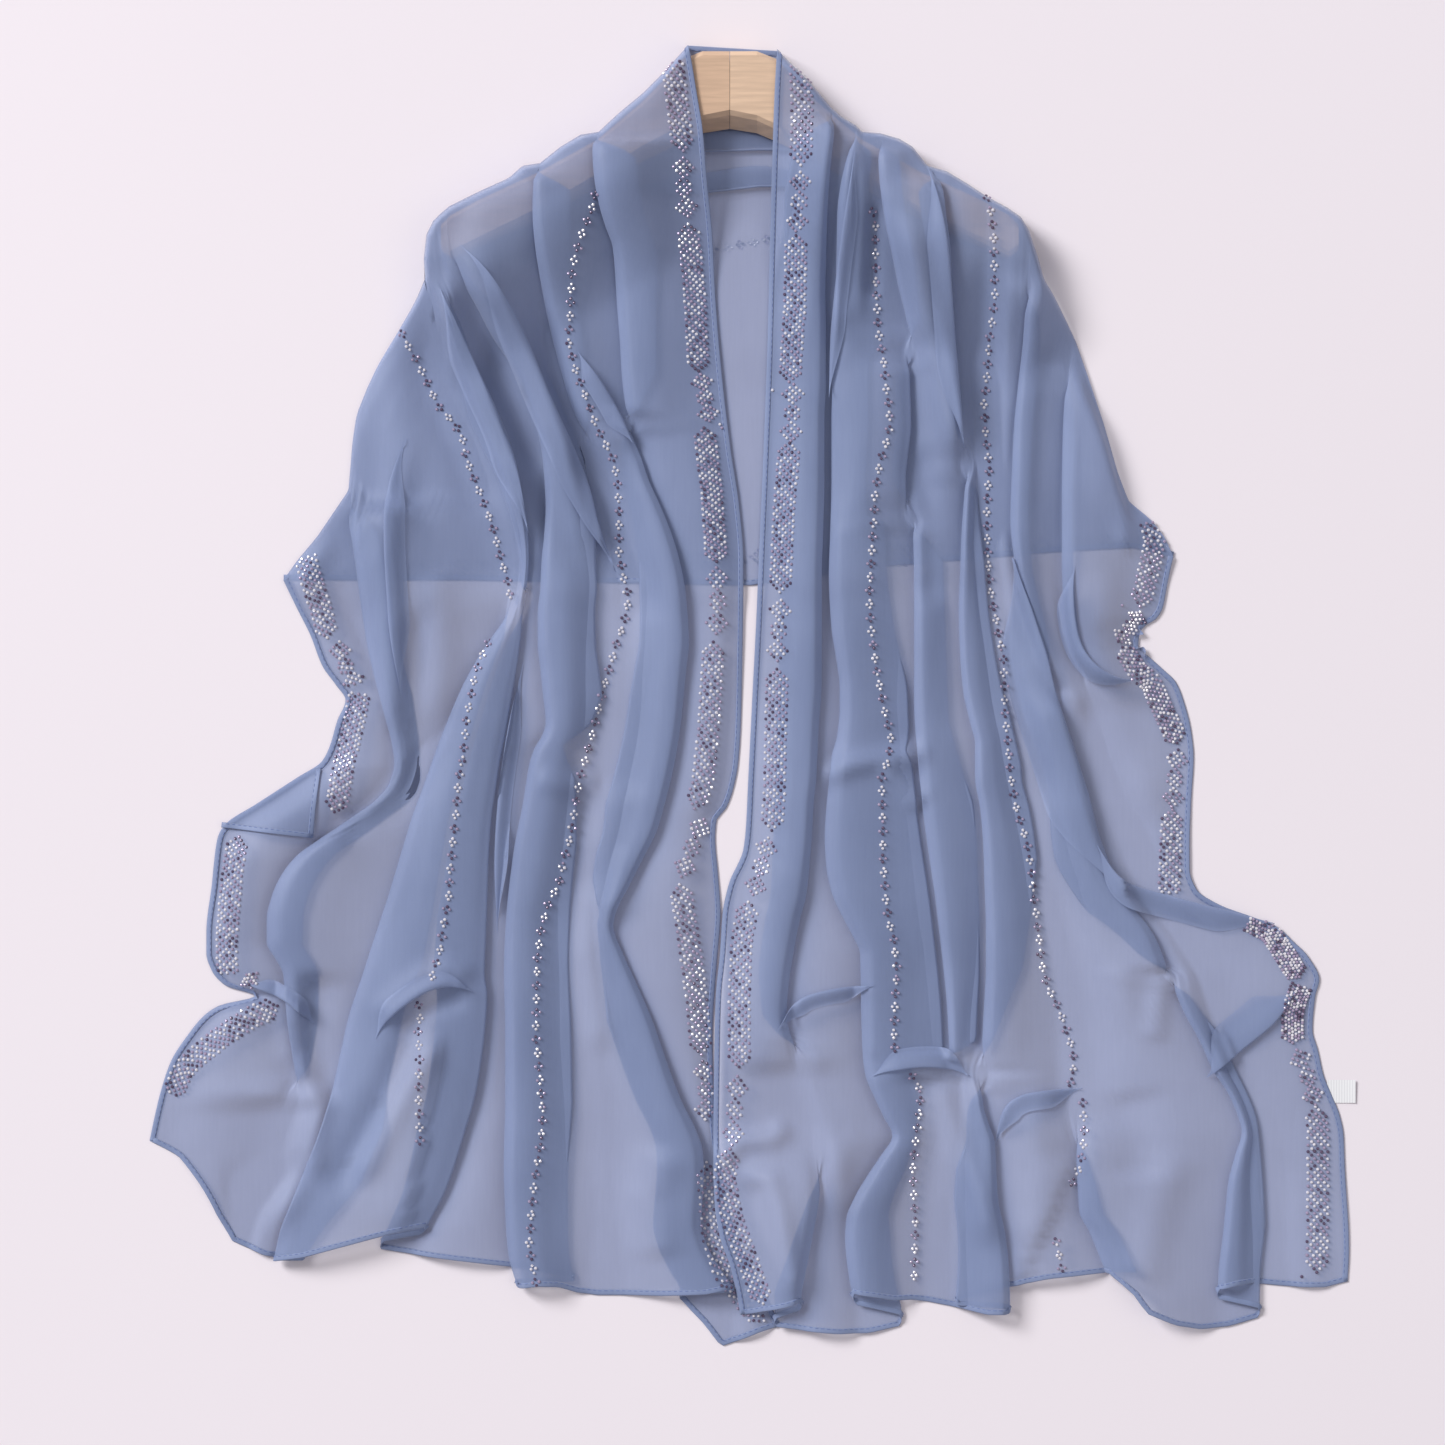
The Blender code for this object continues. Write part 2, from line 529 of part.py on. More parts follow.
# A closed wall of the given thickness around a middle surface, mitred along each of its rows.
def wall(name, grid, thickness):
    rows, columns = grid.shape[:2]
    face = unit(np.cross(grid[1:, 1:] - grid[:-1, :-1], grid[1:, :-1] - grid[:-1, 1:]))
    if face[:, :, 2].mean() < 0.0:
        face = -face
    corners = [(slice(i, rows - 1 + i), slice(j, columns - 1 + j)) for i in (0, 1) for j in (0, 1)]
    normal = np.zeros_like(grid)
    for corner in corners:
        normal[corner] += face
    normal = unit(normal)
    lean = np.zeros((rows, columns))
    touching = np.zeros((rows, columns))
    for corner in corners:
        lean[corner] += (normal[corner] * face).sum(axis=2)
        touching[corner] += 1.0
    reach = (thickness / 2.0 / np.clip(lean / touching, MITRE_LEAST, 1.0))[:, :, None]
    upper = grid + normal * reach
    lower = grid - normal * reach
    lower[:, :, 2] = np.maximum(lower[:, :, 2], 0.0)
    points = np.concatenate([upper.reshape(-1, 3), lower.reshape(-1, 3)])
    below = rows * columns

    def index(i, j):
        return i * columns + j

    faces = []
    for i in range(rows - 1):
        for j in range(columns - 1):
            a, b, c, d = index(i, j), index(i + 1, j), index(i + 1, j + 1), index(i, j + 1)
            one = np.linalg.norm(grid[i, j] - grid[i + 1, j + 1])
            other = np.linalg.norm(grid[i + 1, j] - grid[i, j + 1])
            halves = ((a, b, c), (a, c, d)) if one < other else ((a, b, d), (b, c, d))
            for half in halves:
                faces.append(half)
                faces.append(tuple(below + k for k in reversed(half)))
    border = [index(i, 0) for i in range(rows)] + [index(rows - 1, j) for j in range(1, columns)]
    border += [index(i, columns - 1) for i in range(rows - 2, -1, -1)]
    border += [index(0, j) for j in range(columns - 2, 0, -1)]
    for a, b in zip(border, border[1:] + border[:1]):
        faces.append((b, a, below + a, below + b))
    first = faces[0]
    if np.cross(points[first[1]] - points[first[0]], points[first[2]] - points[first[0]])[2] < 0.0:
        faces = [tuple(reversed(ring)) for ring in faces]
    return solid(name, points, faces)


def solid(name, points, faces):
    mesh = bpy.data.meshes.new(name)
    mesh.from_pydata([tuple(p) for p in (points - np.array(MIDDLE)) * MM], [], faces)
    mesh.validate()
    piece = bpy.data.objects.new(name, mesh)
    bpy.context.scene.collection.objects.link(piece)
    return piece


def material(name, colour, roughness):
    paint = bpy.data.materials.new(name)
    paint.use_nodes = True
    shader = paint.node_tree.nodes["Principled BSDF"]
    shader.inputs["Base Color"].default_value = (*colour, 1.0)
    shader.inputs["Roughness"].default_value = roughness
    shader.inputs["Metallic"].default_value = 0.0
    return paint


# One half of the hanger: a chamfered bar lofted from the centre seam to the tip.
def hanger_half(name, side):
    base = CLOTH + SEAM
    sections = []
    for from_centre, top, low in HANGER_HALF:
        x = HANGER_CENTRE + side * max(from_centre, HANGER_SEAM / 2.0)
        front = hanger_front(from_centre)
        c = HANGER_CHAMFER
        slope = HANGER_BEVEL * (1.0 - from_centre / hanger_tip)
        back_low = low - slope
        ring = (
            (low + c, front), (low, front - c), (back_low, base + c), (back_low + c, base),
            (top - c, base), (top, base + c), (top, front - c), (top - c, front),
        )
        sections.append([(x, y, z) for y, z in ring])
    grid = np.array(sections)
    count = grid.shape[1]
    points = grid.reshape(-1, 3)
    faces = []
    for i in range(len(sections) - 1):
        for j in range(count):
            k = (j + 1) % count
            faces.append((i * count + j, i * count + k, (i + 1) * count + k, (i + 1) * count + j))
    faces.append(tuple(range(count - 1, -1, -1)))
    last = (len(sections) - 1) * count
    faces.append(tuple(range(last, last + count)))
    if side < 0:
        faces = [tuple(reversed(ring)) for ring in faces]
    return solid(name, points, faces)


def care_label(name):
    sx, sy, sz = (size / 2.0 for size in LABEL_SIZE)
    points = [
        (LABEL_CENTRE[0] + i * sx, LABEL_CENTRE[1] + j * sy, sz + k * sz)
        for k in (-1, 1) for j in (-1, 1) for i in (-1, 1)
    ]
    faces = [(0, 2, 3, 1), (4, 5, 7, 6), (0, 1, 5, 4), (1, 3, 7, 5), (3, 2, 6, 7), (2, 0, 4, 6)]
    return solid(name, np.array(points), faces)


def build():
    for thing in list(bpy.data.objects):
        bpy.data.objects.remove(thing, do_unlink=True)
    chiffon = (0.245, 0.345, 0.585)
    wood = (0.66, 0.47, 0.28)
    left = front_rows(
        -1, LEFT_OPENING, LEFT_OUTER, LEFT_SECTIONS, LEFT_TUCKS, LEFT_TURN, LEFT_HEM, LEFT_LEVELS, left_lift
    )
    right = front_rows(
        1, RIGHT_OPENING, RIGHT_OUTER, RIGHT_SECTIONS, RIGHT_TUCKS, RIGHT_TURN, RIGHT_HEM, RIGHT_LEVELS,
        right_lift,
    )
    pieces = (
        (wall("left_front", left, CLOTH), material("left_chiffon", chiffon, 0.7)),
        (wall("right_front", right, CLOTH), material("right_chiffon", chiffon, 0.7)),
        (wall("back", back_rows(), CLOTH), material("back_chiffon", chiffon, 0.7)),
        (hanger_half("hanger_left", -1), material("left_beech", wood, 0.45)),
        (hanger_half("hanger_right", 1), material("right_beech", wood, 0.45)),
        (care_label("care_label"), material("label_satin", (0.85, 0.85, 0.86), 0.6)),
    )
    for piece, paint in pieces:
        piece.data.materials.append(paint)


build()
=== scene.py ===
import math

import bmesh
import bpy
import numpy as np
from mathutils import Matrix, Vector, noise
from mathutils.bvhtree import BVHTree


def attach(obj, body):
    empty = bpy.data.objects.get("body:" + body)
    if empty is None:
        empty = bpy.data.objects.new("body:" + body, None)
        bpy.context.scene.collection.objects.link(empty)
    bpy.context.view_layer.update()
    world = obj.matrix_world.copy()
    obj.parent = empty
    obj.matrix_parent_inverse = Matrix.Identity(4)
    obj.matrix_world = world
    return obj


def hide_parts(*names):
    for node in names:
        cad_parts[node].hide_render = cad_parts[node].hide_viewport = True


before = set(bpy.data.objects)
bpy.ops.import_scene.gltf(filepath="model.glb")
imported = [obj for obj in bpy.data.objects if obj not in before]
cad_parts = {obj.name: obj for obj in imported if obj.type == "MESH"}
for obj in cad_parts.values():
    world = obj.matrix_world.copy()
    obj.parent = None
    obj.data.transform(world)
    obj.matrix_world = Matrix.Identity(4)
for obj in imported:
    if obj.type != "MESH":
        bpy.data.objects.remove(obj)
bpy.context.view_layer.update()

print("frame loaded")

# All tables are in millimetres from the photograph's middle. Heights run up towards the neck.
mm = 0.001
middle = (2.0, 3.0)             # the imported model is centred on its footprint

cloth = {
    "layer": 3.6,               # height of one layer in a fold
    "crown": 0.13,              # rise of a strip over its width
    "crownMost": 7.5,
    "crownLeast": 0.35,         # share of the crown that a strip keeps with no fold beside it
    "skew": 0.55,               # below 1 the crest of a strip lies near its folded edge
    "turnRadius": 5.0,          # the shoulder turn
    "turnEnds": 0.02,           # share of a stretch of the turn that a fold at its end takes up
    "turnReach": 1.5,           # and the most that it takes
    "longRows": 220,
    "stripPoints": 18,
    "arcPoints": 6,             # points round each turn of a fold
    "closedWidth": 5.0,         # half width of a fold that has no tuck
    "openTuck": 9.0,            # a tuck of this depth lies fully open
    "foldRoom": 4.0,            # room that the hidden turns leave
    "foldGap": 3.0,             # least distance between two fold lines
    "foldStart": 3.0,           # a fold begins this far below the turn
    "foldOpens": 20.0,          # and opens over this distance
    "holdShare": 0.2,           # share of a column that is drawn to its place on the turn
    "lasting": 16.0,            # a fold keeps its height this far past a change of side
    "stripStep": 2.8,           # distance between columns, for the wrinkles
    "foldStep": 0.5,
    "streaks": 2.0,             # long soft wrinkles, and their size across and along
    "streakSize": (30.0, 130.0),
    "ripples": 0.35,            # fine ones
    "rippleSize": (12.0, 70.0),
    "fade": 25.0,               # relief and wrinkles come in over this distance from the turn
    "lowest": 0.5,              # least height of a front
    "overBack": 0.35,           # and what it keeps above that where the back lies under it
}
foldPoints = 2 * cloth["arcPoints"] + 3

hanger = {"centre": -15.0, "front": 23.5, "flare": 4.0, "tip": 212.0, "coverGap": 3.0, "fall": 100.0}
hangerLow = ((0, 427), (20, 423), (35, 416), (50, 408), (65, 400), (97, 380), (140, 355), (185, 333),
             (205, 323), (212, 328))
backHem = ((-345, 86), (-210, 86), (0, 82), (105, 97), (225, 107), (285, 110), (313, 103))
neckEdge = (481.0, 477.0)
onFloor = 0.6
onBack = 2.2
backStep = 26.0                 # a front climbs on to the back over this distance
# Where the fronts rise over the back's pleats, how far around that they begin, and how high
pleatCover = {"centre": -11.0, "half": 44.0, "side": 60.0, "low": 290.0, "climb": 62.0, "top": 406.0,
              "drop": 44.0, "rise": 4.6}


def smooth(value):
    t = np.clip(value, 0.0, 1.0)
    return t * t * (3.0 - 2.0 * t)


def curve(points):
    # Monotone cubic through the points, so that it never overshoots them.
    table = sorted(points)
    x = np.array([p[0] for p in table], float)
    y = np.array([p[1] for p in table], float)
    width = np.diff(x)
    slope = np.diff(y) / width
    tangent = np.zeros(len(x))
    tangent[0] = slope[0]
    tangent[-1] = slope[-1]
    rising = slope[:-1] * slope[1:] > 0.0
    total = np.where(rising, slope[:-1] + slope[1:], 1.0)
    tangent[1:-1] = np.where(rising, 2.0 * slope[:-1] * slope[1:] / total, 0.0)

    def at(value):
        value = np.clip(value, x[0], x[-1])
        i = np.clip(np.searchsorted(x, value) - 1, 0, len(width) - 1)
        t = (value - x[i]) / width[i]
        start = (2 * t**3 - 3 * t**2 + 1) * y[i] + (t**3 - 2 * t**2 + t) * width[i] * tangent[i]
        return start + (3 * t**2 - 2 * t**3) * y[i + 1] + (t**3 - t**2) * width[i] * tangent[i + 1]

    return at


def straight(points):
    table = sorted(points)
    return lambda value: np.interp(value, [p[0] for p in table], [p[1] for p in table])


def along(points, share):
    places = np.linspace(0.0, 1.0, len(points))
    return tuple(float(np.interp(share, places, [p[axis] for p in points])) for axis in range(2))


def distanceTo(x, y, line):
    least = np.full(np.shape(x), 1e9)
    for (ax, ay), (bx, by) in zip(line[:-1], line[1:]):
        long = (bx - ax) ** 2 + (by - ay) ** 2
        t = np.clip(((x - ax) * (bx - ax) + (y - ay) * (by - ay)) / long, 0.0, 1.0)
        least = np.minimum(least, np.hypot(x - ax - t * (bx - ax), y - ay - t * (by - ay)))
    return least


# One front of the scarf: its edges, and the folds between them. Points are (height, distance outward), but
# those of "turn" are (distance outward, height), and "hem" has the heights of each strip's lower edge.
# A tuck above 0 lays the inner strip over the outer one, and below 0 the outer strip over the inner one.
leftFront = {
    "side": -1,
    "levels": 1.0,
    "opening": (
        (480, 46), (470, 44), (440, 39), (415, 35), (380, 32), (340, 28), (300, 26), (260, 23), (220, 19),
        (180, 14), (140, 8), (100, 5), (20, 6), (-20, 7), (-50, 9), (-70, 13), (-83, 18), (-92, 25),
        (-105, 26), (-130, 24), (-160, 22), (-200, 25), (-250, 28), (-300, 27), (-350, 22), (-400, 10),
        (-440, -10), (-466, -22),
    ),
    "outer": (
        (86, 345), (65, 335), (45, 325), (22, 316), (8, 306), (-3, 299), (-18, 305), (-38, 311), (-49, 317),
        (-60, 334), (-80, 365), (-95, 388), (-103, 393), (-112, 395), (-140, 398), (-175, 402), (-190, 402),
        (-203, 398), (-214, 388), (-222, 366), (-229, 392), (-236, 403), (-250, 415), (-270, 428),
        (-290, 435), (-310, 440), (-329, 444),
    ),
    "folds": {
        "collar": {
            "line": (
                (416, 112), (400, 113), (380, 112), (360, 109), (345, 105), (330, 100), (315, 99),
                (290, 98), (260, 96), (240, 95), (220, 93), (205, 90), (190, 86), (175, 80), (160, 75),
                (140, 66), (120, 58), (100, 52), (80, 48), (60, 46), (40, 45), (20, 47), (0, 49), (-20, 51),
                (-40, 54), (-60, 58), (-80, 63), (-100, 69), (-120, 79), (-140, 89), (-160, 99),
                (-170, 101), (-190, 94), (-210, 85), (-240, 72), (-260, 65), (-280, 58), (-300, 50),
                (-320, 40), (-335, 35), (-350, 34), (-370, 35), (-390, 36), (-405, 32), (-420, 24),
                (-437, 12),
            ),
            "tuck": (
                (420, 0), (400, 26), (320, 30), (240, 26), (215, 12), (202, 0), (188, -10), (160, -20),
                (80, -34), (0, -40), (-80, -44), (-130, -34), (-160, -12), (-175, -12), (-210, -24),
                (-240, -34), (-320, -34), (-400, -36), (-437, -40),
            ),
        },
        "shoulder": {
            "line": (
                (393, 155), (375, 156), (350, 157), (330, 156), (305, 153), (285, 150), (265, 146),
                (245, 141), (220, 134), (205, 128), (190, 121), (160, 116), (120, 108), (80, 98), (0, 98),
                (-80, 112), (-160, 122), (-240, 116), (-320, 108), (-440, 108),
            ),
            "tuck": ((396, 0), (370, 22), (320, 24), (260, 22), (220, 14), (195, 5), (180, 0)),
        },
        "long": {
            "line": (
                (361, 222), (340, 222), (300, 208), (285, 200), (265, 190), (250, 180), (232, 168),
                (210, 161), (195, 157), (180, 154), (160, 152), (140, 151), (120, 152), (100, 154),
                (80, 155), (60, 157), (40, 157), (20, 155), (0, 153), (-20, 151), (-30, 154), (-38, 159),
                (-50, 163), (-80, 168), (-110, 174), (-140, 178), (-160, 180), (-200, 182), (-250, 181),
                (-300, 181), (-350, 182), (-380, 181), (-410, 179), (-437, 172),
            ),
            "tuck": (
                (330, 0), (290, 10), (240, 20), (200, 26), (160, 34), (80, 42), (0, 44), (-20, 34),
                (-36, 20), (-60, 36), (-110, 46), (-300, 50), (-437, 44),
            ),
        },
        "valley": {
            "line": (
                (350, 234), (310, 228), (290, 220), (270, 212), (250, 205), (230, 198), (220, 195),
                (200, 188), (180, 180), (160, 172), (140, 167), (120, 164), (100, 163), (85, 164),
                (70, 166), (30, 171), (0, 176), (-25, 180), (-50, 185), (-70, 188), (-90, 191), (-120, 193),
                (-150, 194), (-180, 195), (-205, 196), (-220, 194), (-250, 196), (-280, 200), (-300, 204),
                (-320, 210), (-340, 216), (-355, 221), (-370, 227), (-385, 235), (-400, 243), (-437, 262),
            ),
            "tuck": (
                (300, 0), (270, -10), (240, -16), (200, -18), (150, -14), (110, -8), (85, -6), (60, -10),
                (30, -16), (0, -24), (-60, -34), (-200, -38), (-320, -36), (-437, -24),
            ),
        },
        "sweep": {
            "line": (
                (330, 241), (308, 239), (290, 233), (270, 227), (250, 221), (230, 217), (210, 213),
                (180, 202), (150, 190), (120, 179), (95, 174), (75, 176), (58, 182), (43, 191), (28, 201),
                (8, 212), (-15, 222), (-40, 232), (-68, 242), (-90, 250), (-110, 256), (-130, 262),
                (-150, 268), (-180, 278), (-205, 286), (-235, 296), (-265, 303), (-300, 311), (-325, 319),
                (-350, 329), (-375, 339), (-395, 347), (-417, 352),
            ),
            "tuck": (
                (80, 0), (60, 5), (40, 10), (0, 22), (-80, 34), (-160, 42), (-240, 40), (-290, 40),
                (-320, 46), (-360, 46), (-417, 22),
            ),
        },
        "outer": {
            "line": (
                (190, 297), (150, 292), (130, 288), (100, 287), (70, 286), (40, 283), (20, 279), (0, 274),
                (-15, 270), (-35, 265), (-50, 263), (-65, 267), (-78, 278), (-88, 292), (-97, 305),
                (-107, 320), (-118, 335), (-132, 346), (-147, 353), (-165, 357), (-182, 357), (-195, 350),
                (-205, 345), (-225, 343), (-245, 341), (-265, 338), (-285, 336), (-320, 347), (-360, 362),
                (-400, 377), (-440, 387),
            ),
            "tuck": (
                (150, 0), (120, 14), (80, 22), (40, 24), (0, 24), (-50, 18), (-70, 24), (-110, 28),
                (-160, 27), (-200, 26), (-240, 22), (-270, 12), (-295, 0),
            ),
        },
    },
    "turn": (
        ((46, 480), (55, 470), (66, 458), (80, 444), (97, 430), (112, 416)),
        ((112, 416), (125, 414), (140, 405), (155, 393)),
        ((155, 393), (168, 391), (178, 382), (200, 372), (222, 361)),
        ((222, 361), (229, 355), (234, 350)),
        ((234, 350), (239, 340), (241, 322)),
        (
            (241, 322), (240, 308), (247, 292), (260, 270), (275, 245), (283, 228), (291, 208), (294, 188),
            (297, 152),
        ),
        ((297, 152), (320, 118), (335, 100), (345, 86)),
    ),
    "hem": (
        (-466, -470, -476, -481, -462, -447), (-437, -441, -442, -443, -443, -443),
        (-443, -441, -436, -435, -437), (-430, -423, -418, -414, -409),
        (-392, -396, -402, -408, -414, -417), (-417, -416, -413, -407), (-403, -385, -362, -340, -329),
    ),
}
rightFront = {
    "side": 1,
    "levels": 2.2,
    "opening": (
        (477, 20), (440, 18), (380, 16), (300, 14), (260, 13), (180, 10), (110, 7), (60, 5), (0, 2),
        (-60, -1), (-100, -3), (-115, -5), (-125, -9), (-135, -14), (-145, -17), (-160, -20), (-190, -22),
        (-220, -25), (-250, -26), (-345, -27), (-375, -26), (-400, -22), (-420, -15), (-440, -10),
        (-457, -7),
    ),
    "outer": (
        (103, 313), (95, 311), (80, 308), (65, 305), (57, 300), (52, 292), (46, 288), (37, 287), (29, 295),
        (20, 305), (10, 315), (-5, 321), (-25, 326), (-45, 328), (-80, 326), (-110, 325), (-128, 325),
        (-143, 330), (-155, 348), (-163, 370), (-171, 390), (-182, 402), (-192, 412), (-210, 421),
        (-222, 418), (-247, 416), (-262, 420), (-280, 424), (-295, 430), (-310, 436), (-325, 439),
        (-350, 440), (-410, 443), (-433, 442),
    ),
    "folds": {
        "collar": {
            "line": (
                (434, 60), (410, 58), (385, 56), (355, 55), (330, 55), (300, 55), (270, 56), (250, 56),
                (230, 56), (205, 55), (160, 55), (120, 54), (90, 53), (40, 53), (10, 53), (-20, 51),
                (-60, 49), (-80, 47), (-100, 46), (-125, 44), (-145, 42), (-165, 37), (-185, 33),
                (-210, 29), (-235, 27), (-247, 29), (-262, 36), (-285, 42), (-320, 50), (-360, 52),
                (-400, 46), (-440, 38),
            ),
            "tuck": (
                (428, 0), (405, 22), (370, 28), (0, 32), (-120, 28), (-200, 24), (-235, 18), (-255, 6),
                (-268, 0), (-330, 0), (-360, 6), (-400, 14), (-440, 20),
            ),
        },
        "valley": {
            "line": (
                (421, 78), (405, 77), (390, 73), (375, 69), (355, 66), (330, 65), (300, 64), (270, 63),
                (250, 62), (205, 60), (160, 60), (120, 59), (90, 58), (50, 60), (30, 63), (5, 66),
                (-10, 66), (-30, 64), (-45, 60), (-65, 58), (-85, 56), (-105, 55), (-125, 56), (-145, 60),
                (-163, 68), (-178, 76), (-190, 81), (-240, 82), (-265, 83), (-280, 85), (-295, 91),
                (-310, 98), (-325, 105), (-340, 96), (-355, 86), (-370, 77), (-385, 71), (-400, 70),
                (-430, 73), (-452, 78),
            ),
            "tuck": (
                (415, 0), (395, -12), (360, -18), (320, -24), (280, -28), (200, -34), (60, -46), (-40, -54),
                (-80, -80), (-120, -88), (-258, -88), (-274, -36), (-300, -32), (-325, -16), (-350, -26),
                (-400, -34),
            ),
        },
        "shoulder": {
            "line": (
                (415, 96), (380, 97), (350, 100), (325, 105), (300, 110), (280, 115), (262, 118),
                (240, 118), (200, 119), (180, 117), (160, 115), (140, 117), (125, 120), (80, 121), (0, 121),
                (-80, 127), (-160, 138), (-240, 146), (-300, 148), (-400, 140), (-440, 138),
            ),
            "tuck": (
                (412, 0), (395, -10), (320, -14), (280, -10), (252, 0), (235, 10), (200, 12), (160, 10),
                (130, 0), (100, -22), (-20, -26), (-60, -34), (-85, -40), (-160, -36), (-250, -28),
                (-268, 0),
            ),
        },
        "long": {
            "line": (
                (391, 131), (375, 137), (350, 141), (325, 145), (300, 147), (270, 150), (240, 152),
                (215, 155), (195, 157), (175, 160), (160, 159), (120, 156), (95, 155), (60, 154), (30, 155),
                (5, 157), (-10, 160), (-22, 163), (-35, 166), (-60, 166), (-85, 170), (-110, 172),
                (-140, 173), (-170, 174), (-200, 174), (-240, 172), (-270, 171), (-300, 172), (-315, 176),
                (-330, 181), (-350, 182), (-370, 183), (-395, 188), (-420, 191), (-445, 192),
            ),
            "tuck": (
                (392, 0), (372, 12), (300, 14), (240, 12), (190, 6), (170, 0), (150, -10), (100, -18),
                (0, -30), (-120, -40), (-200, -28), (-250, -10), (-280, 0), (-310, 14), (-350, 30),
                (-445, 40),
            ),
        },
        "hem": {
            "line": (
                (368, 175), (320, 176), (280, 177), (200, 176), (120, 176), (80, 180), (40, 186), (0, 193),
                (-40, 202), (-80, 211), (-120, 220), (-160, 228), (-200, 235), (-240, 239), (-300, 240),
                (-340, 241), (-381, 243), (-395, 250), (-424, 262), (-440, 270),
            ),
            "tuck": ((-300, 0), (-330, -5), (-360, -14), (-400, -22), (-440, -24)),
        },
        "sweep": {
            "line": (
                (343, 206), (320, 205), (290, 204), (260, 202), (235, 199), (200, 195), (160, 193),
                (130, 192), (100, 195), (75, 201), (55, 207), (35, 213), (10, 221), (-10, 227), (-30, 233),
                (-55, 241), (-75, 246), (-100, 252), (-125, 261), (-140, 270), (-155, 281), (-167, 292),
                (-180, 300), (-195, 306), (-208, 310), (-233, 320), (-255, 332), (-277, 342), (-292, 352),
                (-310, 360), (-322, 363), (-340, 358), (-360, 353), (-380, 351), (-400, 349), (-425, 346),
                (-450, 345),
            ),
            "tuck": (
                (300, 0), (280, -8), (240, -14), (120, -14), (40, -10), (15, -4), (0, 0), (-20, 10),
                (-60, 22), (-120, 34), (-160, 36), (-190, 18), (-206, 0), (-222, -10), (-250, -18),
                (-300, -30), (-450, -32),
            ),
        },
        "thin": {
            "line": (
                (262, 241), (220, 233), (180, 231), (140, 230), (100, 230), (75, 231), (50, 234), (30, 240),
                (17, 247), (5, 254), (-20, 264), (-75, 275), (-125, 291), (-155, 304), (-180, 320),
                (-208, 338), (-260, 356), (-320, 380), (-440, 388),
            ),
            "tuck": ((240, 0), (220, -6), (180, -9), (60, -9), (30, -8), (14, -4), (2, 0)),
        },
    },
    "turn": (
        ((20, 477), (32, 465), (45, 452), (55, 440), (60, 434)),
        ((60, 434), (68, 427), (78, 421)),
        ((78, 421), (83, 416), (96, 415)),
        ((96, 415), (110, 411), (120, 405), (131, 391)),
        ((131, 391), (145, 387), (160, 378), (175, 368)),
        ((175, 368), (190, 360), (200, 353), (206, 343)),
        ((206, 343), (213, 322), (217, 308), (225, 295), (235, 275), (241, 262)),
        ((241, 262), (252, 230), (262, 200), (272, 165), (280, 144), (297, 130), (307, 117), (313, 103)),
    ),
    "hem": (
        (-457, -456, -454, -452, -450, -447), (-466, -469, -471, -471, -466),
        (-441, -443, -446, -446, -448), (-450, -453, -456, -456), (-447, -437, -430, -427, -425),
        (-426, -455, -464, -468, -466, -460), (-438, -435, -434, -435), (-436, -437, -437, -433),
    ),
    "crossing": {"lift": 5.0, "fullX": 32.0, "endX": 120.0, "startY": -140.0, "fullY": -235.0},
}

# Soft relief on top of the folds: kind, height, half width, then the points of its line
leftRelief = (
    ("ridge", -4.0, 14, ((-86, 205), (-92, 150), (-84, 100), (-72, 50))),
    ("ridge", 4.0, 12, ((-112, -130), (-119, -190), (-108, -270))),
    ("ridge", 8.0, 11, (
        (-206, 330), (-188, 290), (-174, 262), (-160, 232), (-149, 206), (-139, 172), (-124, 125),
        (-112, 84),
    )),
    ("ridge", -6.0, 10, ((-168, 315), (-148, 250), (-128, 190), (-112, 140))),
    ("ridge", 9.0, 10, ((-236, 318), (-230, 295), (-213, 248), (-191, 205), (-174, 160), (-164, 110))),
    ("ridge", -6.0, 10, ((-215, 300), (-193, 250), (-174, 210), (-154, 160))),
    ("ridge", -4.0, 12, ((-252, 285), (-236, 230), (-214, 185), (-196, 130))),
    ("ridge", 5.0, 13, ((-252, 190), (-262, 150), (-269, 100), (-264, 20), (-264, -40))),
    ("ridge", 4.0, 12, ((-232, 100), (-226, 20), (-231, -25))),
    ("ridge", -5.0, 12, ((-246, 70), (-248, 10), (-250, -45))),
    ("ridge", -5.0, 13, ((-238, -25), (-252, -62), (-275, -88), (-308, -108))),
    ("ridge", -8.0, 15, ((-318, -200), (-325, -245), (-328, -300))),
    ("ridge", 4.0, 9, ((-276, -240), (-254, -218), (-238, -206), (-222, -202), (-200, -210))),
    ("ridge", -4.0, 8, ((-262, -254), (-240, -232), (-222, -224), (-208, -230))),
    ("ridge", -5.0, 11, ((-242, -235), (-262, -280), (-285, -325), (-312, -375))),
    ("ridge", 5.0, 9, ((-226, -245), (-250, -285), (-272, -328), (-292, -365))),
    ("step", 4.0, 22, ((-258, -405), (-250, -380), (-239, -317), (-226, -240))),
    ("ridge", 7.0, 9, (
        (-350, -205), (-341, -230), (-337, -263), (-322, -292), (-316, -305), (-324, -343), (-337, -369),
        (-354, -408),
    )),
    ("ridge", -4.0, 14, ((-392, -366), (-355, -361), (-318, -345))),
    ("ridge", 4.0, 16, ((-130, 110), (-128, 0), (-140, -80), (-150, -170))),
    ("ridge", 3.0, 9, ((-160, -60), (-136, -66), (-108, -62))),
    ("ridge", 4.0, 14, ((-90, -60), (-108, -110), (-95, -170))),
    ("ridge", 5.0, 14, ((-60, -330), (-75, -370), (-66, -420))),
    ("ridge", 4.0, 15, ((-300, 300), (-280, 250), (-262, 215), (-250, 160))),
)
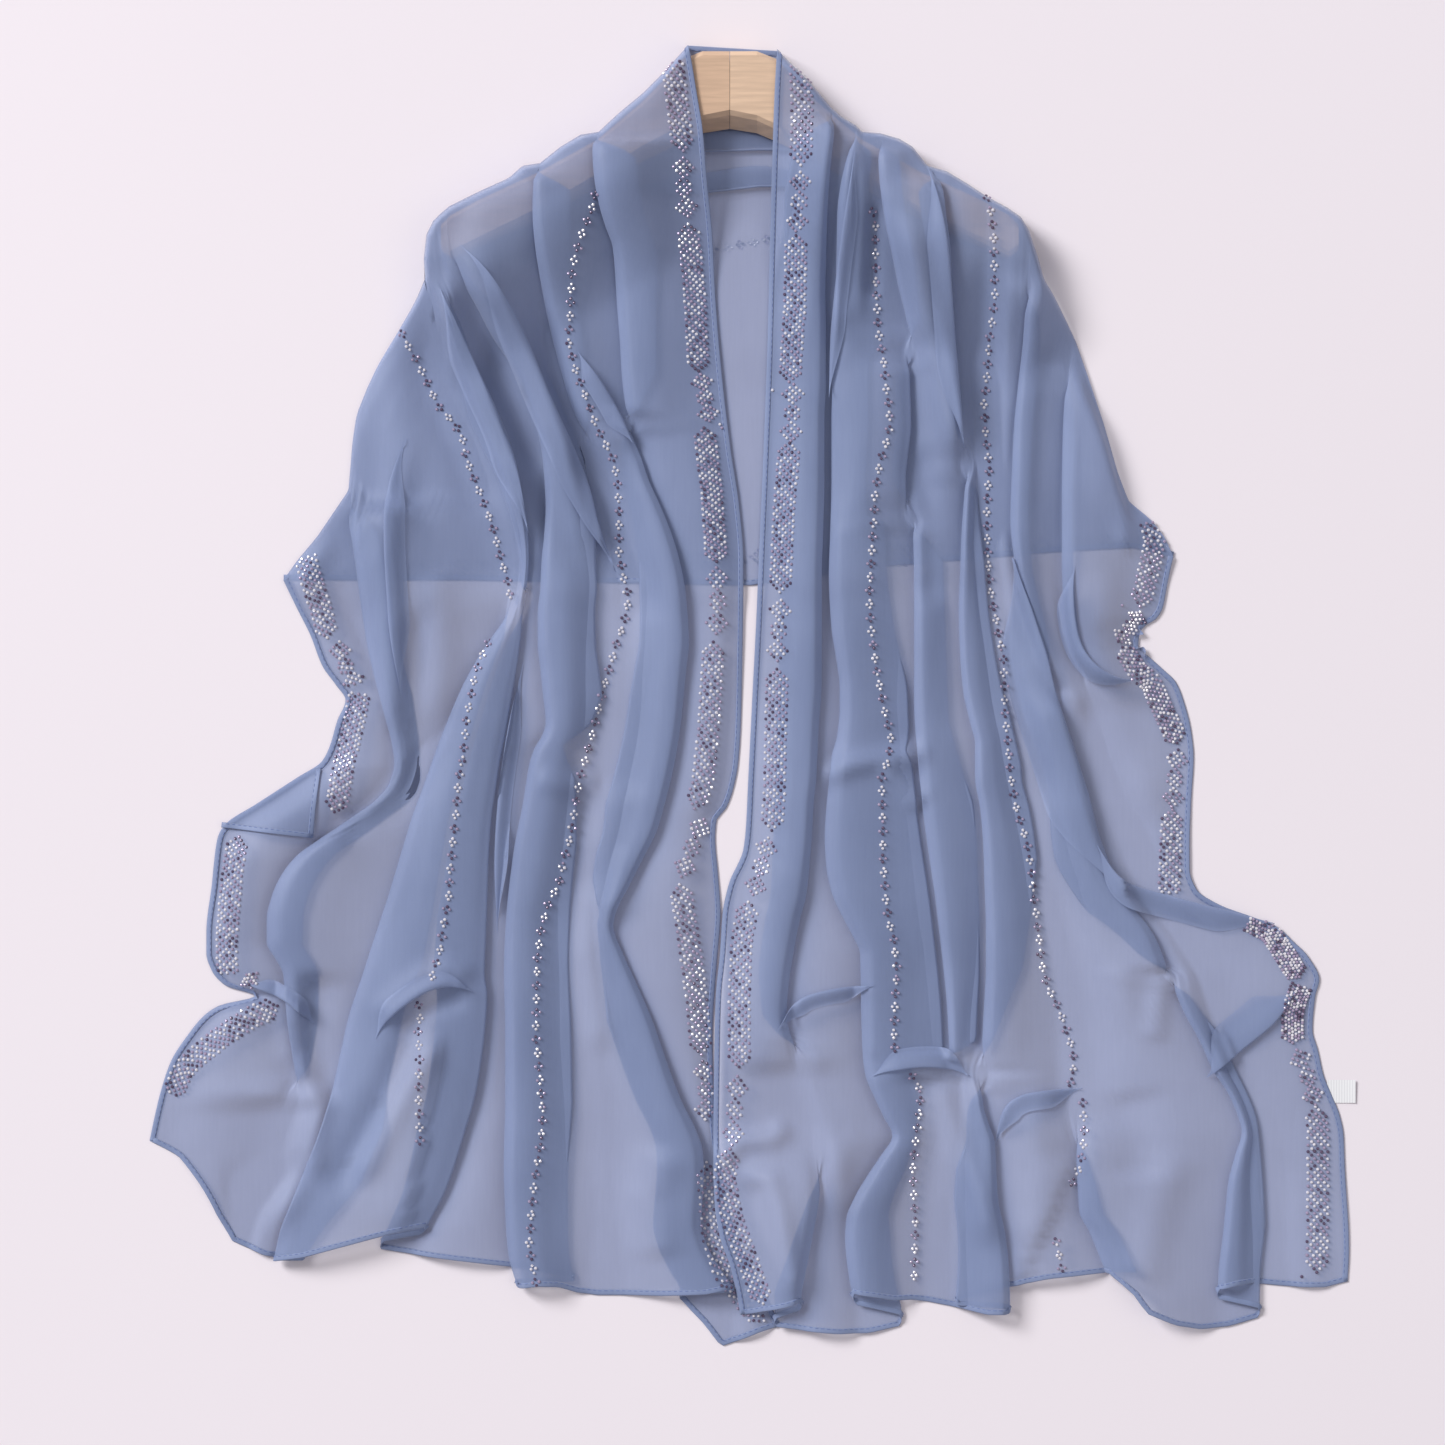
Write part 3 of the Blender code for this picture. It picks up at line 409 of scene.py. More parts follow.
rightRelief = (
    ("ridge", -5.0, 5, ((93, 366), (91, 340), (89, 290))),
    ("ridge", 3.0, 5, ((72, 405), (70, 340), (69, 260))),
    ("ridge", 3.0, 6, ((83, 400), (81, 340), (79, 270))),
    ("ridge", 6.0, 10, ((110, 360), (127, 290), (140, 240), (156, 170))),
    ("ridge", -6.0, 14, ((168, 330), (172, 250), (178, 170), (184, 100))),
    ("ridge", -4.0, 10, ((128, 190), (132, 120), (134, 60))),
    ("ridge", 4.0, 8, ((278, 155), (281, 132), (275, 104))),
    ("ridge", 5.0, 8, ((312, -200), (302, -222), (297, -258))),
    ("ridge", 6.0, 8, ((48, -64), (75, -50), (100, -47), (136, -40))),
    ("ridge", 5.0, 8, ((96, -52), (112, -64), (130, -82))),
    ("ridge", 5.0, 10, ((135, -276), (155, -330), (168, -365), (178, -410))),
    ("step", 4.5, 18, ((192, -455), (210, -410), (222, -385), (232, -360), (242, -335))),
    ("ridge", 6.0, 8, ((-28, -350), (-7, -329), (16, -326), (32, -314))),
    ("ridge", 6.0, 9, ((-18, -352), (2, -354), (14, -357), (21, -378), (27, -409), (37, -448))),
    ("ridge", 5.0, 10, ((30, -246), (44, -270), (58, -315), (64, -350), (68, -392))),
    ("ridge", -6.0, 22, ((278, -290), (286, -322), (288, -360))),
    ("ridge", 4.0, 14, ((262, 110), (262, 20), (276, -40), (300, -100))),
    ("ridge", -4.0, 14, ((238, 0), (256, -60), (284, -120), (310, -170))),
    ("ridge", 4.0, 12, ((222, -60), (238, -120), (262, -190), (290, -250))),
    ("ridge", 4.0, 13, ((205, -300), (214, -350), (204, -410))),
    ("ridge", 5.0, 14, ((316, -330), (300, -380), (288, -440))),
    ("ridge", 4.0, 12, ((246, 250), (262, 190), (268, 140))),
)


# A column's rows run level in the middle of the front, and follow the turn and the hem at its ends.
def heightOn(start, end, distance, share, levels):
    top, low = 330.0, -440.0
    level = top + (low - top) * share
    return level + (start - distance - top) * (1.0 - share) ** levels + (end - low) * share


# The points of one fold from its inner to its outer side, for arrays of tucks. A fold keeps its height
# where there is room for less of its tuck, and half of it where it changes sides.
def foldShape(tuck, width, wanted, lasting):
    layer = cloth["layer"]
    r = layer / 2.0
    size = np.abs(tuck)
    angles = np.linspace(math.pi / 2.0, -math.pi / 2.0, cloth["arcPoints"])
    across, high = [], []
    for a in angles:
        across.append(-r + r * math.cos(a) + 0.0 * size)
        high.append(2 * layer - r + r * math.sin(a) + 0.0 * size)
    for share in (0.25, 0.5, 0.75):
        across.append(-r + (2 * r - size) * share)
        high.append(layer + 0.0 * size)
    for a in angles:
        across.append(-size + r - r * math.cos(a))
        high.append(r + r * math.sin(a) + 0.0 * size)
    across, high = np.array(across), np.array(high)
    count = len(across)
    flipped = tuck < 0.0
    across = np.where(flipped, -across[::-1], across)
    high = np.where(flipped, high[::-1], high)
    opened = smooth(size / cloth["openTuck"])
    closed = np.linspace(-1.0, 1.0, count)[:, None] * width
    high = layer + (high - layer) * smooth(np.abs(wanted) / cloth["openTuck"])
    return closed + (across - closed) * opened, high * smooth(lasting / cloth["openTuck"])


# Where everything lies at the given heights: edges, folds and the strips between them.
class Sections:
    def __init__(self, front):
        folds = front["folds"].values()
        self.lines = [curve(front["opening"])] + [curve(fold["line"]) for fold in folds]
        self.lines.append(curve(front["outer"]))
        self.tucks = [straight(fold["tuck"]) for fold in folds]
        self.starts = [strip[-1][1] for strip in front["turn"][:-1]]

    def at(self, y):
        edges = [np.asarray(line(y), float) for line in self.lines]
        for k in range(1, len(edges)):
            edges[k] = np.maximum(edges[k], edges[k - 1] + cloth["foldGap"])
        gaps = [b - a for a, b in zip(edges[:-1], edges[1:])]
        wanted, lasting = [], []
        for k, line in enumerate(self.tucks):
            begun = smooth((self.starts[k] - y - cloth["foldStart"]) / cloth["foldOpens"])
            wanted.append(line(y) * begun)
            near = [np.abs(line(y + shift * cloth["lasting"])) for shift in (-1.0, -0.5, 0.0, 0.5, 1.0)]
            lasting.append(np.maximum.reduce(near) * begun)
        across, high = [], []
        for k, tuck in enumerate(wanted):
            inner = wanted[k - 1] if k > 0 else 0.0 * y
            outer = wanted[k + 1] if k + 1 < len(wanted) else 0.0 * y
            under = np.where(tuck > 0.0, gaps[k], gaps[k + 1])
            facing = np.where(tuck > 0.0, inner < 0.0, outer > 0.0)
            room = np.where(facing, (under - cloth["foldRoom"]) / 2.0, under - cloth["foldRoom"])
            tuck = np.sign(tuck) * np.minimum(np.abs(tuck), np.maximum(room, 0.0))
            tuck = np.where(tuck == 0.0, 1e-6 * np.sign(wanted[k]), tuck)
            width = np.minimum(cloth["closedWidth"], 0.3 * np.minimum(gaps[k], gaps[k + 1]))
            shape = foldShape(tuck, width, wanted[k], lasting[k])
            across.append(edges[k + 1] + shape[0])
            high.append(shape[1])
        raised = [smooth(tuck / cloth["openTuck"]) for tuck in lasting]
        return edges, across, high, raised

    def strip(self, section, k, share):
        edges, across, high, raised = section
        none = 0.0 * edges[0]
        start = across[k - 1][-1] if k > 0 else edges[0]
        startHigh = high[k - 1][-1] if k > 0 else none
        end = across[k][0] if k < len(across) else edges[-1]
        endHigh = high[k][0] if k < len(across) else none
        x = start + (end - start) * share
        shownFrom = np.maximum(start, edges[k])
        shownTo = np.minimum(end, edges[k + 1])
        wide = np.maximum(shownTo - shownFrom, 1.0)
        v = np.clip((x - shownFrom) / wide, 0.0, 1.0)
        crown = np.minimum(cloth["crownMost"], cloth["crown"] * wide)
        level = startHigh + (endHigh - startHigh) * smooth(v)
        lean = np.clip((startHigh - endHigh) / (2.0 * cloth["layer"]), -1.0, 1.0)
        power = 1.0 - (1.0 - cloth["skew"]) * np.abs(lean)
        w = np.where(lean >= 0.0, v ** power, 1.0 - (1.0 - v) ** power)
        before = raised[k - 1] if k > 0 else none
        after = raised[k] if k < len(raised) else none
        crown *= cloth["crownLeast"] + (1.0 - cloth["crownLeast"]) * np.maximum(before, after)
        soft = np.sin(math.pi * w) ** 2
        firm = (4.0 * w * (1.0 - w)) ** 0.8
        return x, level + crown * (soft + (firm - soft) * np.where(w < 0.5, before, after))

    def fold(self, section, k, step):
        return section[1][k][step], section[2][k][step]


def shareOnBack(x, y):
    return smooth((y - straight(backHem)(x) + backStep) / backStep)


# The height that a front lies at: over the table, the back with its pleats, or the hanger
def support(x, y, turn):
    fromCentre = np.abs(x - hanger["centre"])
    floor = onFloor + (onBack - onFloor) * shareOnBack(x, y)
    below = np.maximum(0.0, straight(hangerLow)(fromCentre) - y)
    away = np.hypot(below, np.maximum(0.0, fromCentre - hanger["tip"]))
    flare = hanger["flare"] * np.minimum(1.0, fromCentre / hanger["tip"])
    crest = hanger["front"] + flare + hanger["coverGap"]
    across = 1.0 - smooth((np.abs(x - pleatCover["centre"]) - pleatCover["half"]) / pleatCover["side"])
    up = smooth((y - pleatCover["low"]) / pleatCover["climb"])
    pleats = up * (1.0 - smooth((y - pleatCover["top"]) / pleatCover["drop"]))
    floor = floor + pleatCover["rise"] * across * pleats
    height = floor + (crest - floor) * (1.0 - smooth(away / hanger["fall"]))
    inside = np.clip(distanceTo(x, y, turn) / cloth["turnRadius"], 0.0, 1.0)
    wrapped = onBack + (height - onBack) * np.sqrt(1.0 - (1.0 - inside) ** 2)
    return np.where(height > onBack, wrapped, height)


# The nearest point of a line: distance, above 0 on the left of its direction, and share of its length.
def nearest(x, y, line):
    steps = [math.dist(a, b) for a, b in zip(line[:-1], line[1:])]
    total = sum(steps)
    least = np.full(np.shape(x), 1e9)
    signed, share = np.zeros(np.shape(x)), np.zeros(np.shape(x))
    done = 0.0
    for (ax, ay), (bx, by), step in zip(line[:-1], line[1:], steps):
        t = np.clip(((x - ax) * (bx - ax) + (y - ay) * (by - ay)) / step**2, 0.0, 1.0)
        away = np.hypot(x - ax - t * (bx - ax), y - ay - t * (by - ay))
        left = np.sign((bx - ax) * (y - ay) - (by - ay) * (x - ax))
        closer = away < least
        signed = np.where(closer, away * left, signed)
        share = np.where(closer, (done + t * step) / total, share)
        least = np.minimum(least, away)
        done += step
    return signed, share


reliefTaper = 0.18              # share of its line over which a ridge comes up at each end


# A ridge or hollow rises on both sides of its line, and a step only on the left of it.
def relief(x, y, features):
    total = np.zeros(np.shape(x))
    for kind, height, width, line in features:
        away, share = nearest(x, y, line)
        taper = smooth(share / reliefTaper) * smooth((1.0 - share) / reliefTaper)
        form = np.exp(-(away / width) ** 2)
        if kind == "step":
            form *= smooth((away + 1.0) / 2.0)
        total += height * taper * form
    return total


# Wrinkles run along the cloth, so they follow its columns and bend with the folds.
def wrinkles(y, places):
    values = np.zeros(y.shape)
    for height, (wide, long), layer in ((cloth["streaks"], cloth["streakSize"], 3.0),
                                        (cloth["ripples"], cloth["rippleSize"], 7.0)):
        for c, place in enumerate(places):
            values[:, c] += [height * noise.noise(Vector((place / wide, v / long, layer))) for v in y[:, c]]
    return values


# The columns of a front: start point, hem height, reader and place across, from the opening outward.
def strands(front):
    shapes = Sections(front)
    turn, lower = front["turn"], front["hem"]
    ends, perStrip = cloth["turnEnds"], cloth["stripPoints"]

    def hemAt(k, share):
        return float(np.interp(share, np.linspace(0.0, 1.0, len(lower[k])), lower[k]))

    place = 0.0
    columns = [(turn[0][0], lower[0][0], lambda s: shapes.strip(s, 0, 0.0), place)]
    for k in range(len(turn)):
        for i in range(perStrip):
            share = (i + 1.0) / (perStrip + 1.0)
            place += cloth["stripStep"]
            columns.append((along(turn[k], ends + (1.0 - 2.0 * ends) * share), hemAt(k, share),
                            lambda s, k=k, share=share: shapes.strip(s, k, share), place))
        if k == len(turn) - 1:
            continue
        length = sum(math.dist(a, b) for a, b in zip(turn[k][:-1], turn[k][1:]))
        for i in range(foldPoints):
            bridge = i / (foldPoints - 1.0)
            offset = 2.0 * bridge - 1.0
            reach = min(ends, cloth["turnReach"] / length) * abs(offset)
            strip, share = (k, 1.0 - reach) if offset <= 0.0 else (k + 1, reach)
            end = lower[k][-1] * (1.0 - bridge) + lower[k + 1][0] * bridge
            place += cloth["foldStep"]
            columns.append((along(turn[strip], share), end,
                            lambda s, k=k, i=i: shapes.fold(s, k, i), place))
    place += cloth["stripStep"]
    columns.append((turn[-1][-1], lower[-1][-1], lambda s: shapes.strip(s, len(turn) - 1, 1.0), place))
    return shapes, columns


# Distances of the first rows from the shoulder turn, where they lie close together
firstRows = (0.0, 0.5, 1.1, 1.9, 2.9, 4.2, 6.0, 8.5, 12.0, 16.0, 22.0, 30.0)


def frontGrid(front, features):
    side, longRows = front["side"], cloth["longRows"]
    distances = np.array(firstRows + firstRows[-1:] * longRows)
    shares = np.concatenate([np.zeros(len(firstRows)), np.arange(1, longRows + 1) / longRows])
    hold = np.maximum(0.0, 1.0 - shares / cloth["holdShare"]) ** 2
    shapes, columns = strands(front)
    x, y, level = (np.zeros((len(shares), len(columns))) for _ in range(3))
    for c, ((startX, startY), endY, read, _) in enumerate(columns):
        y[:, c] = heightOn(startY, endY, distances, shares, front["levels"])
        x[:, c], level[:, c] = read(shapes.at(y[:, c]))
        raw = read(shapes.at(np.array([startY])))[0][0]
        x[:, c] += (startX - raw) * hold
    level *= smooth(distances / cloth["foldOpens"])[:, None]
    x *= side
    turn = [(side * a, b) for strip in front["turn"] for a, b in strip]
    turn = [p for p, q in zip(turn, turn[1:] + [None]) if p != q]
    base = support(x, y, turn)
    fade = np.clip(distanceTo(x, y, turn) / cloth["fade"], 0.0, 1.0)
    z = base + level + (relief(x, y, features) + wrinkles(y, [column[3] for column in columns])) * fade
    cross = front.get("crossing")
    if cross:
        near = 1.0 - smooth((x - cross["fullX"]) / (cross["endX"] - cross["fullX"]))
        low = smooth((cross["startY"] - y) / (cross["startY"] - cross["fullY"]))
        z += cross["lift"] * near * low
    lowest = cloth["lowest"] + cloth["overBack"] * shareOnBack(x, y)
    return np.stack([x, y, np.maximum(z, lowest)], axis=2)


back = {
    "columns": 121,
    "rows": (70, 12, 24),       # below the pleats, between them and above them
    "wide": 660.0,
    "pleats": ((371.0, 376.0), (402.0, 403.0)),     # heights of the left and right end of each
    "pleatEnds": (0.44, 0.56),  # and where those are, as shares of the width
    "tuck": 16.0,
    "half": 60.0,               # half width of the pleats, and how far beside that they fade
    "fade": 120.0,
    "faded": 0.8,               # half of what a faded pleat takes up
    "rise": 0.48,               # their height, as a share of a front's fold
    "flat": 0.18,               # and what is left of it under the hanger
    "flatFrom": 3.0,            # distance below the hanger's lower edge
    "flatOver": 9.0,
    "puff": 1.5,                # the cloth rises a little between the pleats
    "puffAt": 388.0,
    "puffSize": 8.0,
}


# The back's rows go up from its lower edge, and two pleats at the neck turn back under it.
def backGrid():
    left = straight([(b, -a) for strip in leftFront["turn"] for a, b in strip])
    right = straight([(b, a) for strip in rightFront["turn"] for a, b in strip])
    share = np.linspace(0.0, 1.0, back["columns"])
    low = straight(backHem)(backHem[0][0] + (backHem[-1][0] - backHem[0][0]) * share)
    top = neckEdge[0] + (neckEdge[1] - neckEdge[0]) * share
    near = 1.0 - smooth((np.abs((share - 0.5) * back["wide"]) - back["half"]) / back["fade"])
    first, second = (np.interp(share, back["pleatEnds"], ends) for ends in back["pleats"])
    tuck = np.full(len(share), back["tuck"])
    across, high = foldShape(tuck, np.ones(len(share)), tuck, tuck)
    rows = [(low, 0.0 * share)]
    for start, end, number in zip((low, first, second), (first, second, top), back["rows"]):
        for t in np.linspace(0.0, 1.0, number + 2)[1:-1]:
            rows.append((start + (end - start) * t, 0.0 * share))
        if end is top:
            continue
        for i, offset in enumerate(np.linspace(-1.0, 1.0, foldPoints)):
            faded = back["faded"] * (1.0 - near) * offset
            rows.append((end - across[i] * near + faded, high[i] * near))
    rows.append((top, 0.0 * share))
    y = np.array([row[0] for row in rows])
    x = left(y) + (right(y) - left(y)) * share
    below = straight(hangerLow)(np.abs(x - hanger["centre"])) - y
    flat = back["flat"] + (1.0 - back["flat"]) * smooth((below - back["flatFrom"]) / back["flatOver"])
    z = onFloor + back["rise"] * flat * np.array([row[1] for row in rows])
    z += back["puff"] * near * np.exp(-((y - back["puffAt"]) / back["puffSize"]) ** 2)
    return np.stack([x, y, z], axis=2)


def gridQuads(grid, first=0):
    rows, columns = grid.shape[:2]
    index = first + np.arange(rows * columns).reshape(rows, columns)
    corners = [index[:-1, :-1], index[1:, :-1], index[1:, 1:], index[:-1, 1:]]
    return np.stack(corners, axis=2).reshape(-1, 4)


def meshPiece(name, points, faces, smoothed=True, materialOf=None):
    points = points.reshape(-1, 3) - np.array([*middle, 0.0])
    mesh = bpy.data.meshes.new(name)
    mesh.from_pydata((points * mm).tolist(), [], faces)
    if smoothed:
        mesh.shade_smooth()
    if materialOf is not None:
        mesh.polygons.foreach_set("material_index", materialOf)
    piece = bpy.data.objects.new(name, mesh)
    bpy.context.scene.collection.objects.link(piece)
    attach(piece, "root")
    return piece


def sheetPiece(name, grid):
    quads = gridQuads(grid)
    a, b, c = grid.reshape(-1, 3)[quads[0][:3]]
    if np.cross(b - a, c - a)[2] < 0.0:
        quads = quads[:, ::-1]
    return meshPiece(name, grid, quads.tolist())


leftCloth = frontGrid(leftFront, leftRelief)
rightCloth = frontGrid(rightFront, rightRelief)
backCloth = backGrid()
pieces = {
    "leftDrape": sheetPiece("leftDrape", leftCloth),
    "rightDrape": sheetPiece("rightDrape", rightCloth),
    "backDrape": sheetPiece("backDrape", backCloth),
}
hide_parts("left_front")
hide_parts("right_front")
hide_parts("back")
for name, piece in pieces.items():
    area = sum(face.area for face in piece.data.polygons)
    print(name, len(piece.data.polygons), "faces", round(area, 3), "square metres")


# The care label is a plain blank tab, with its free end curled up a little.
careLabel = {"size": (21.0, 17.0), "centre": (437.5, -292.5), "low": 0.3, "curl": 0.9, "points": 12}
labelShare = np.linspace(0.0, 1.0, careLabel["points"])
labelAcross, labelUp = np.meshgrid(labelShare, labelShare)
pieces["careLabel"] = sheetPiece("careLabel", np.stack([
    careLabel["centre"][0] + (labelAcross - 0.5) * careLabel["size"][0],
    careLabel["centre"][1] + (labelUp - 0.5) * careLabel["size"][1],
    careLabel["low"] + careLabel["curl"] * labelAcross**3 * (0.6 + 0.4 * labelUp),
], axis=2))
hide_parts("care_label")


def unit(v):
    return v / np.maximum(np.linalg.norm(v, axis=-1, keepdims=True), 1e-9)


def lengthsAlong(line):
    return np.concatenate([[0.0], np.cumsum(np.linalg.norm(np.diff(line, axis=0), axis=1))])


def pointAt(s, lengths, line):
    return np.array([np.interp(s, lengths, values) for values in line.T])


# One search tree for several grids of cloth
def treeOf(grids):
    spots, quads = [], []
    for grid in grids:
        quads += gridQuads(grid, len(spots)).tolist()
        spots += grid.reshape(-1, 3).tolist()
    return BVHTree.FromPolygons(spots, quads)


def topOf(tree, x, y):
    hit = tree.ray_cast(Vector((x, y, 60.0)), Vector((0.0, 0.0, -1.0)))[0]
    return 1.0 if hit is None else hit.z        # 1 mm beside the cloth


# The flap at the left edge is folded over, reverse side up.
flap = {"corners": ((-317, -50), (-391, -97), (-323, -105)), "rows": 14, "lift": 1.6}
flapShare = np.arange(flap["rows"] + 1) / flap["rows"]
flapAway, flapAcross = flapShare[:, None, None], flapShare[None, :, None]
flapFirst, flapSecond, flapThird = np.array(flap["corners"], float)
flapEdge = flapSecond * (1.0 - flapAcross) + flapThird * flapAcross
flapGrid = flapFirst * (1.0 - flapAway) + flapEdge * flapAway
leftTree = treeOf([leftCloth])
flapHigh = np.array([[topOf(leftTree, x, y) + flap["lift"] for x, y in row] for row in flapGrid])
flapCloth = np.concatenate([flapGrid, flapHigh[:, :, None]], axis=2)
pieces["leftFlap"] = sheetPiece("leftFlap", flapCloth[1:])

# Sharp folds: depth, then the rim's points with the covering cloth on the left of its line.
leftRims = (
    (16, (
        (-163, 120), (-168, 148), (-173, 170), (-181, 196), (-195, 226), (-206, 250), (-216, 274),
        (-227, 298),
    )),
    (18, (
        (-99, 92), (-106, 110), (-113, 128), (-118, 150), (-127, 174), (-138, 198), (-149, 222),
        (-160, 250), (-169, 271), (-180, 293), (-195, 315), (-212, 330),
    )),
    (11, ((-86, 186), (-97, 208), (-106, 224), (-115, 238), (-127, 254))),
    (14, ((-254, 190), (-263, 168), (-268, 145), (-268, 110), (-266, 78), (-264, 43), (-257, 0))),
    (9, ((-168, 24), (-175, -9), (-181, -46), (-186, -84), (-188, -127), (-187, -176))),
    (9, ((-372, -213), (-352, -219), (-338, -226), (-322, -242))),
    (11, ((-276, -252), (-268, -238), (-254, -226), (-238, -216), (-222, -212), (-204, -218))),
)
rightRims = (
    (14, ((158, 182), (155, 210), (152, 238), (149, 271), (146, 305), (142, 340), (137, 366), (130, 388))),
    (9, ((76, 398), (73, 374), (69, 344), (64, 305), (60, 262), (58, 220))),
    (32, (
        (275, -148), (266, -127), (257, -103), (250, -77), (238, -38), (227, -6), (222, 12), (218, 30),
        (213, 45), (206, 68), (200, 83), (194, 102),
    )),
    (11, ((286, 12), (274, 12), (262, 16), (250, 25), (242, 38), (238, 56), (237, 74), (239, 96))),
    (10, ((92, -213), (54, -218), (34, -225), (20, -246))),
    (14, ((90, -280), (104, -275), (126, -272), (148, -274), (162, -281))),
    (12, ((246, -290), (212, -293), (198, -296), (187, -305), (181, -330))),
    (16, ((388, -168), (345, -158), (322, -152), (300, -146), (285, -142), (270, -134), (256, -110))),
    (24, ((338, -282), (360, -263), (375, -251), (388, -240), (404, -218))),
)
rim = {
    "samples": 60,
    "rows": 10,                 # points across the covering layer
    "rollPoints": 7,
    "underPoints": 6,
    "rise": 3.4,                # height of the rim over what it lies on
    "radius": 1.4,
    "clear": 0.4,
    "under": 0.8,               # share of the depth that runs back underneath
    "taper": 0.3,               # share of the line over which each end closes
    "least": 0.04,              # share of the depth that is left at the ends
    "near": 2.5,                # a sheet clears what lies this far around each of its points
    "look": 3.0,                # half of the stretch that gives the line's direction
    "evenings": 4,
}


def rounded(line):
    line = np.array(line, float)
    for _ in range(3):
        a, b = line[:-1], line[1:]
        cut = np.stack([0.75 * a + 0.25 * b, 0.25 * a + 0.75 * b], axis=1).reshape(-1, 2)
        line = np.concatenate([line[:1], cut, line[-1:]])
    return line


# The covering layer rises to its rim, rolls round it and runs back under itself.
def rimGrid(tree, depth, points):
    line = rounded(points)
    lengths = lengthsAlong(line)
    look, near = rim["look"], rim["near"]
    rows = []
    for share in np.linspace(0.0, 1.0, rim["samples"]):
        s = share * lengths[-1]
        spot = pointAt(s, lengths, line)
        ahead = unit(pointAt(s + look, lengths, line) - pointAt(s - look, lengths, line))
        over = np.array([-ahead[1], ahead[0]])
        taper = float(smooth(min(share, 1.0 - share) / rim["taper"]))
        reach = depth * (rim["least"] + (1.0 - rim["least"]) * taper)
        section = []
        for u in np.linspace(0.0, 1.0, rim["rows"]):
            section.append((reach * (1.0 - u), rim["rise"] * float(smooth(u))))
        for a in np.linspace(math.pi / 2.0, -math.pi / 2.0, rim["rollPoints"])[1:-1]:
            drop = rim["radius"] * (1.0 - math.sin(a))
            section.append((-rim["radius"] * taper * math.cos(a), rim["rise"] - drop))
        low = rim["rise"] - 2.0 * rim["radius"]
        for u in np.linspace(0.0, 1.0, rim["underPoints"]):
            section.append((rim["under"] * reach * u, low * (1.0 - u)))
        row = []
        for away, high in section:
            ground = max(topOf(tree, *(spot + over * (away + aside * near) + ahead * onward * near))
                         for aside in (-1, 0, 1, 2) for onward in (-1, 0, 1))
            row.append((*(spot + over * away), ground, rim["clear"] + high * taper))
        rows.append(row)
    grid = np.array(rows)
    level = grid[:, :, 2]
    for _ in range(rim["evenings"]):
        beside = np.roll(level, 1, axis=0) + np.roll(level, -1, axis=0)
        level = np.maximum(grid[:, :, 2], 0.5 * level + 0.25 * beside)
    grid[:, :, 2] = np.concatenate([grid[:1, :, 2], level[1:-1], grid[-1:, :, 2]]) + grid[:, :, 3]
    return grid[:, :, :3]


# Each fold lies on the front and on the folds laid before it.
def foldsOn(side, front, rims):
    folds = []
    for depth, points in rims:
        folds.append(rimGrid(treeOf([front, *folds]), depth, points))
        name = side + "Fold" + str(len(folds))
        pieces[name] = sheetPiece(name, folds[-1])
    return folds


leftFolds = foldsOn("left", leftCloth, leftRims)
rightFolds = foldsOn("right", rightCloth, rightRims)
print("sharp folds made", len(leftFolds), "and", len(rightFolds))

hem = {
    "width": 3.6,
    "thick": 0.6,
    "sides": 8,
    "over": 0.25,               # how far the roll stands out past the cloth's edge
    "lift": 0.1,
    "pitch": 4.4,               # from stitch to stitch
    "stitch": 2.6,
    "stitchWide": 0.5,
    "stitchHigh": 0.35,
    "stitchIn": 3.0,
    "stitchSunk": 0.42,         # height of its foot, as a share of the hem's thickness
    "least": 0.05,              # nothing small goes below this height
}


# A rolled hem: a flattened tube along an edge, turned in over the cloth.
def hemTube(edge, inner):
    tangent = unit(np.gradient(edge, axis=0))
    inward = inner - edge
    inward = unit(inward - np.sum(inward * tangent, axis=1, keepdims=True) * tangent)
    up = unit(np.cross(tangent, inward))
    up *= np.where(np.sum(up[:, 2]) < 0.0, -1.0, 1.0)
    sides, half, thick = hem["sides"], hem["width"] / 2.0, hem["thick"] / 2.0
    rings = []
    for a in np.linspace(0.0, 2.0 * math.pi, sides, endpoint=False):
        shift = half - (half + hem["over"]) * math.cos(a)
        rings.append(edge + inward * shift + up * (thick * math.sin(a) + hem["lift"]))
    rings = np.stack(rings, axis=1)
    rings[:, :, 2] = np.maximum(rings[:, :, 2], hem["least"])
    rows = len(edge)
    faces = []
    for i in range(rows - 1):
        for j in range(sides):
            a, b = i * sides + j, i * sides + (j + 1) % sides
            faces.append((a, b, b + sides, a + sides))
    faces.append(tuple(range(sides - 1, -1, -1)))
    faces.append(tuple(range((rows - 1) * sides, rows * sides)))
    return rings.reshape(-1, 3), faces, inward, up


# Stitches are short dashes on the hem's inner line.
def stitchMarks(edge, inward, up):
    tangent = unit(np.gradient(edge, axis=0))
    lengths = lengthsAlong(edge)
    points, faces = [], []
    for s in np.arange(hem["pitch"], lengths[-1] - hem["pitch"], hem["pitch"]):
        t, n, u = (unit(pointAt(s, lengths, way)) for way in (tangent, inward, up))
        foot = pointAt(s, lengths, edge) + n * hem["stitchIn"] + u * (hem["thick"] * hem["stitchSunk"])
        base = len(points)
        for ahead, wide, high in ((-1, -1, 0), (1, -1, 0), (1, 1, 0), (-1, 1, 0), (-0.6, 0, 1), (0.6, 0, 1)):
            points.append(foot + t * (ahead * hem["stitch"] / 2) + n * (wide * hem["stitchWide"] / 2)
                          + u * (hem["stitchHigh"] * high))
        faces += [(base, base + 1, base + 5, base + 4), (base + 2, base + 3, base + 4, base + 5),
                  (base + 1, base + 2, base + 5), (base + 3, base, base + 4)]
    points = np.array(points)
    points[:, 2] = np.maximum(points[:, 2], hem["least"])
    return points, faces


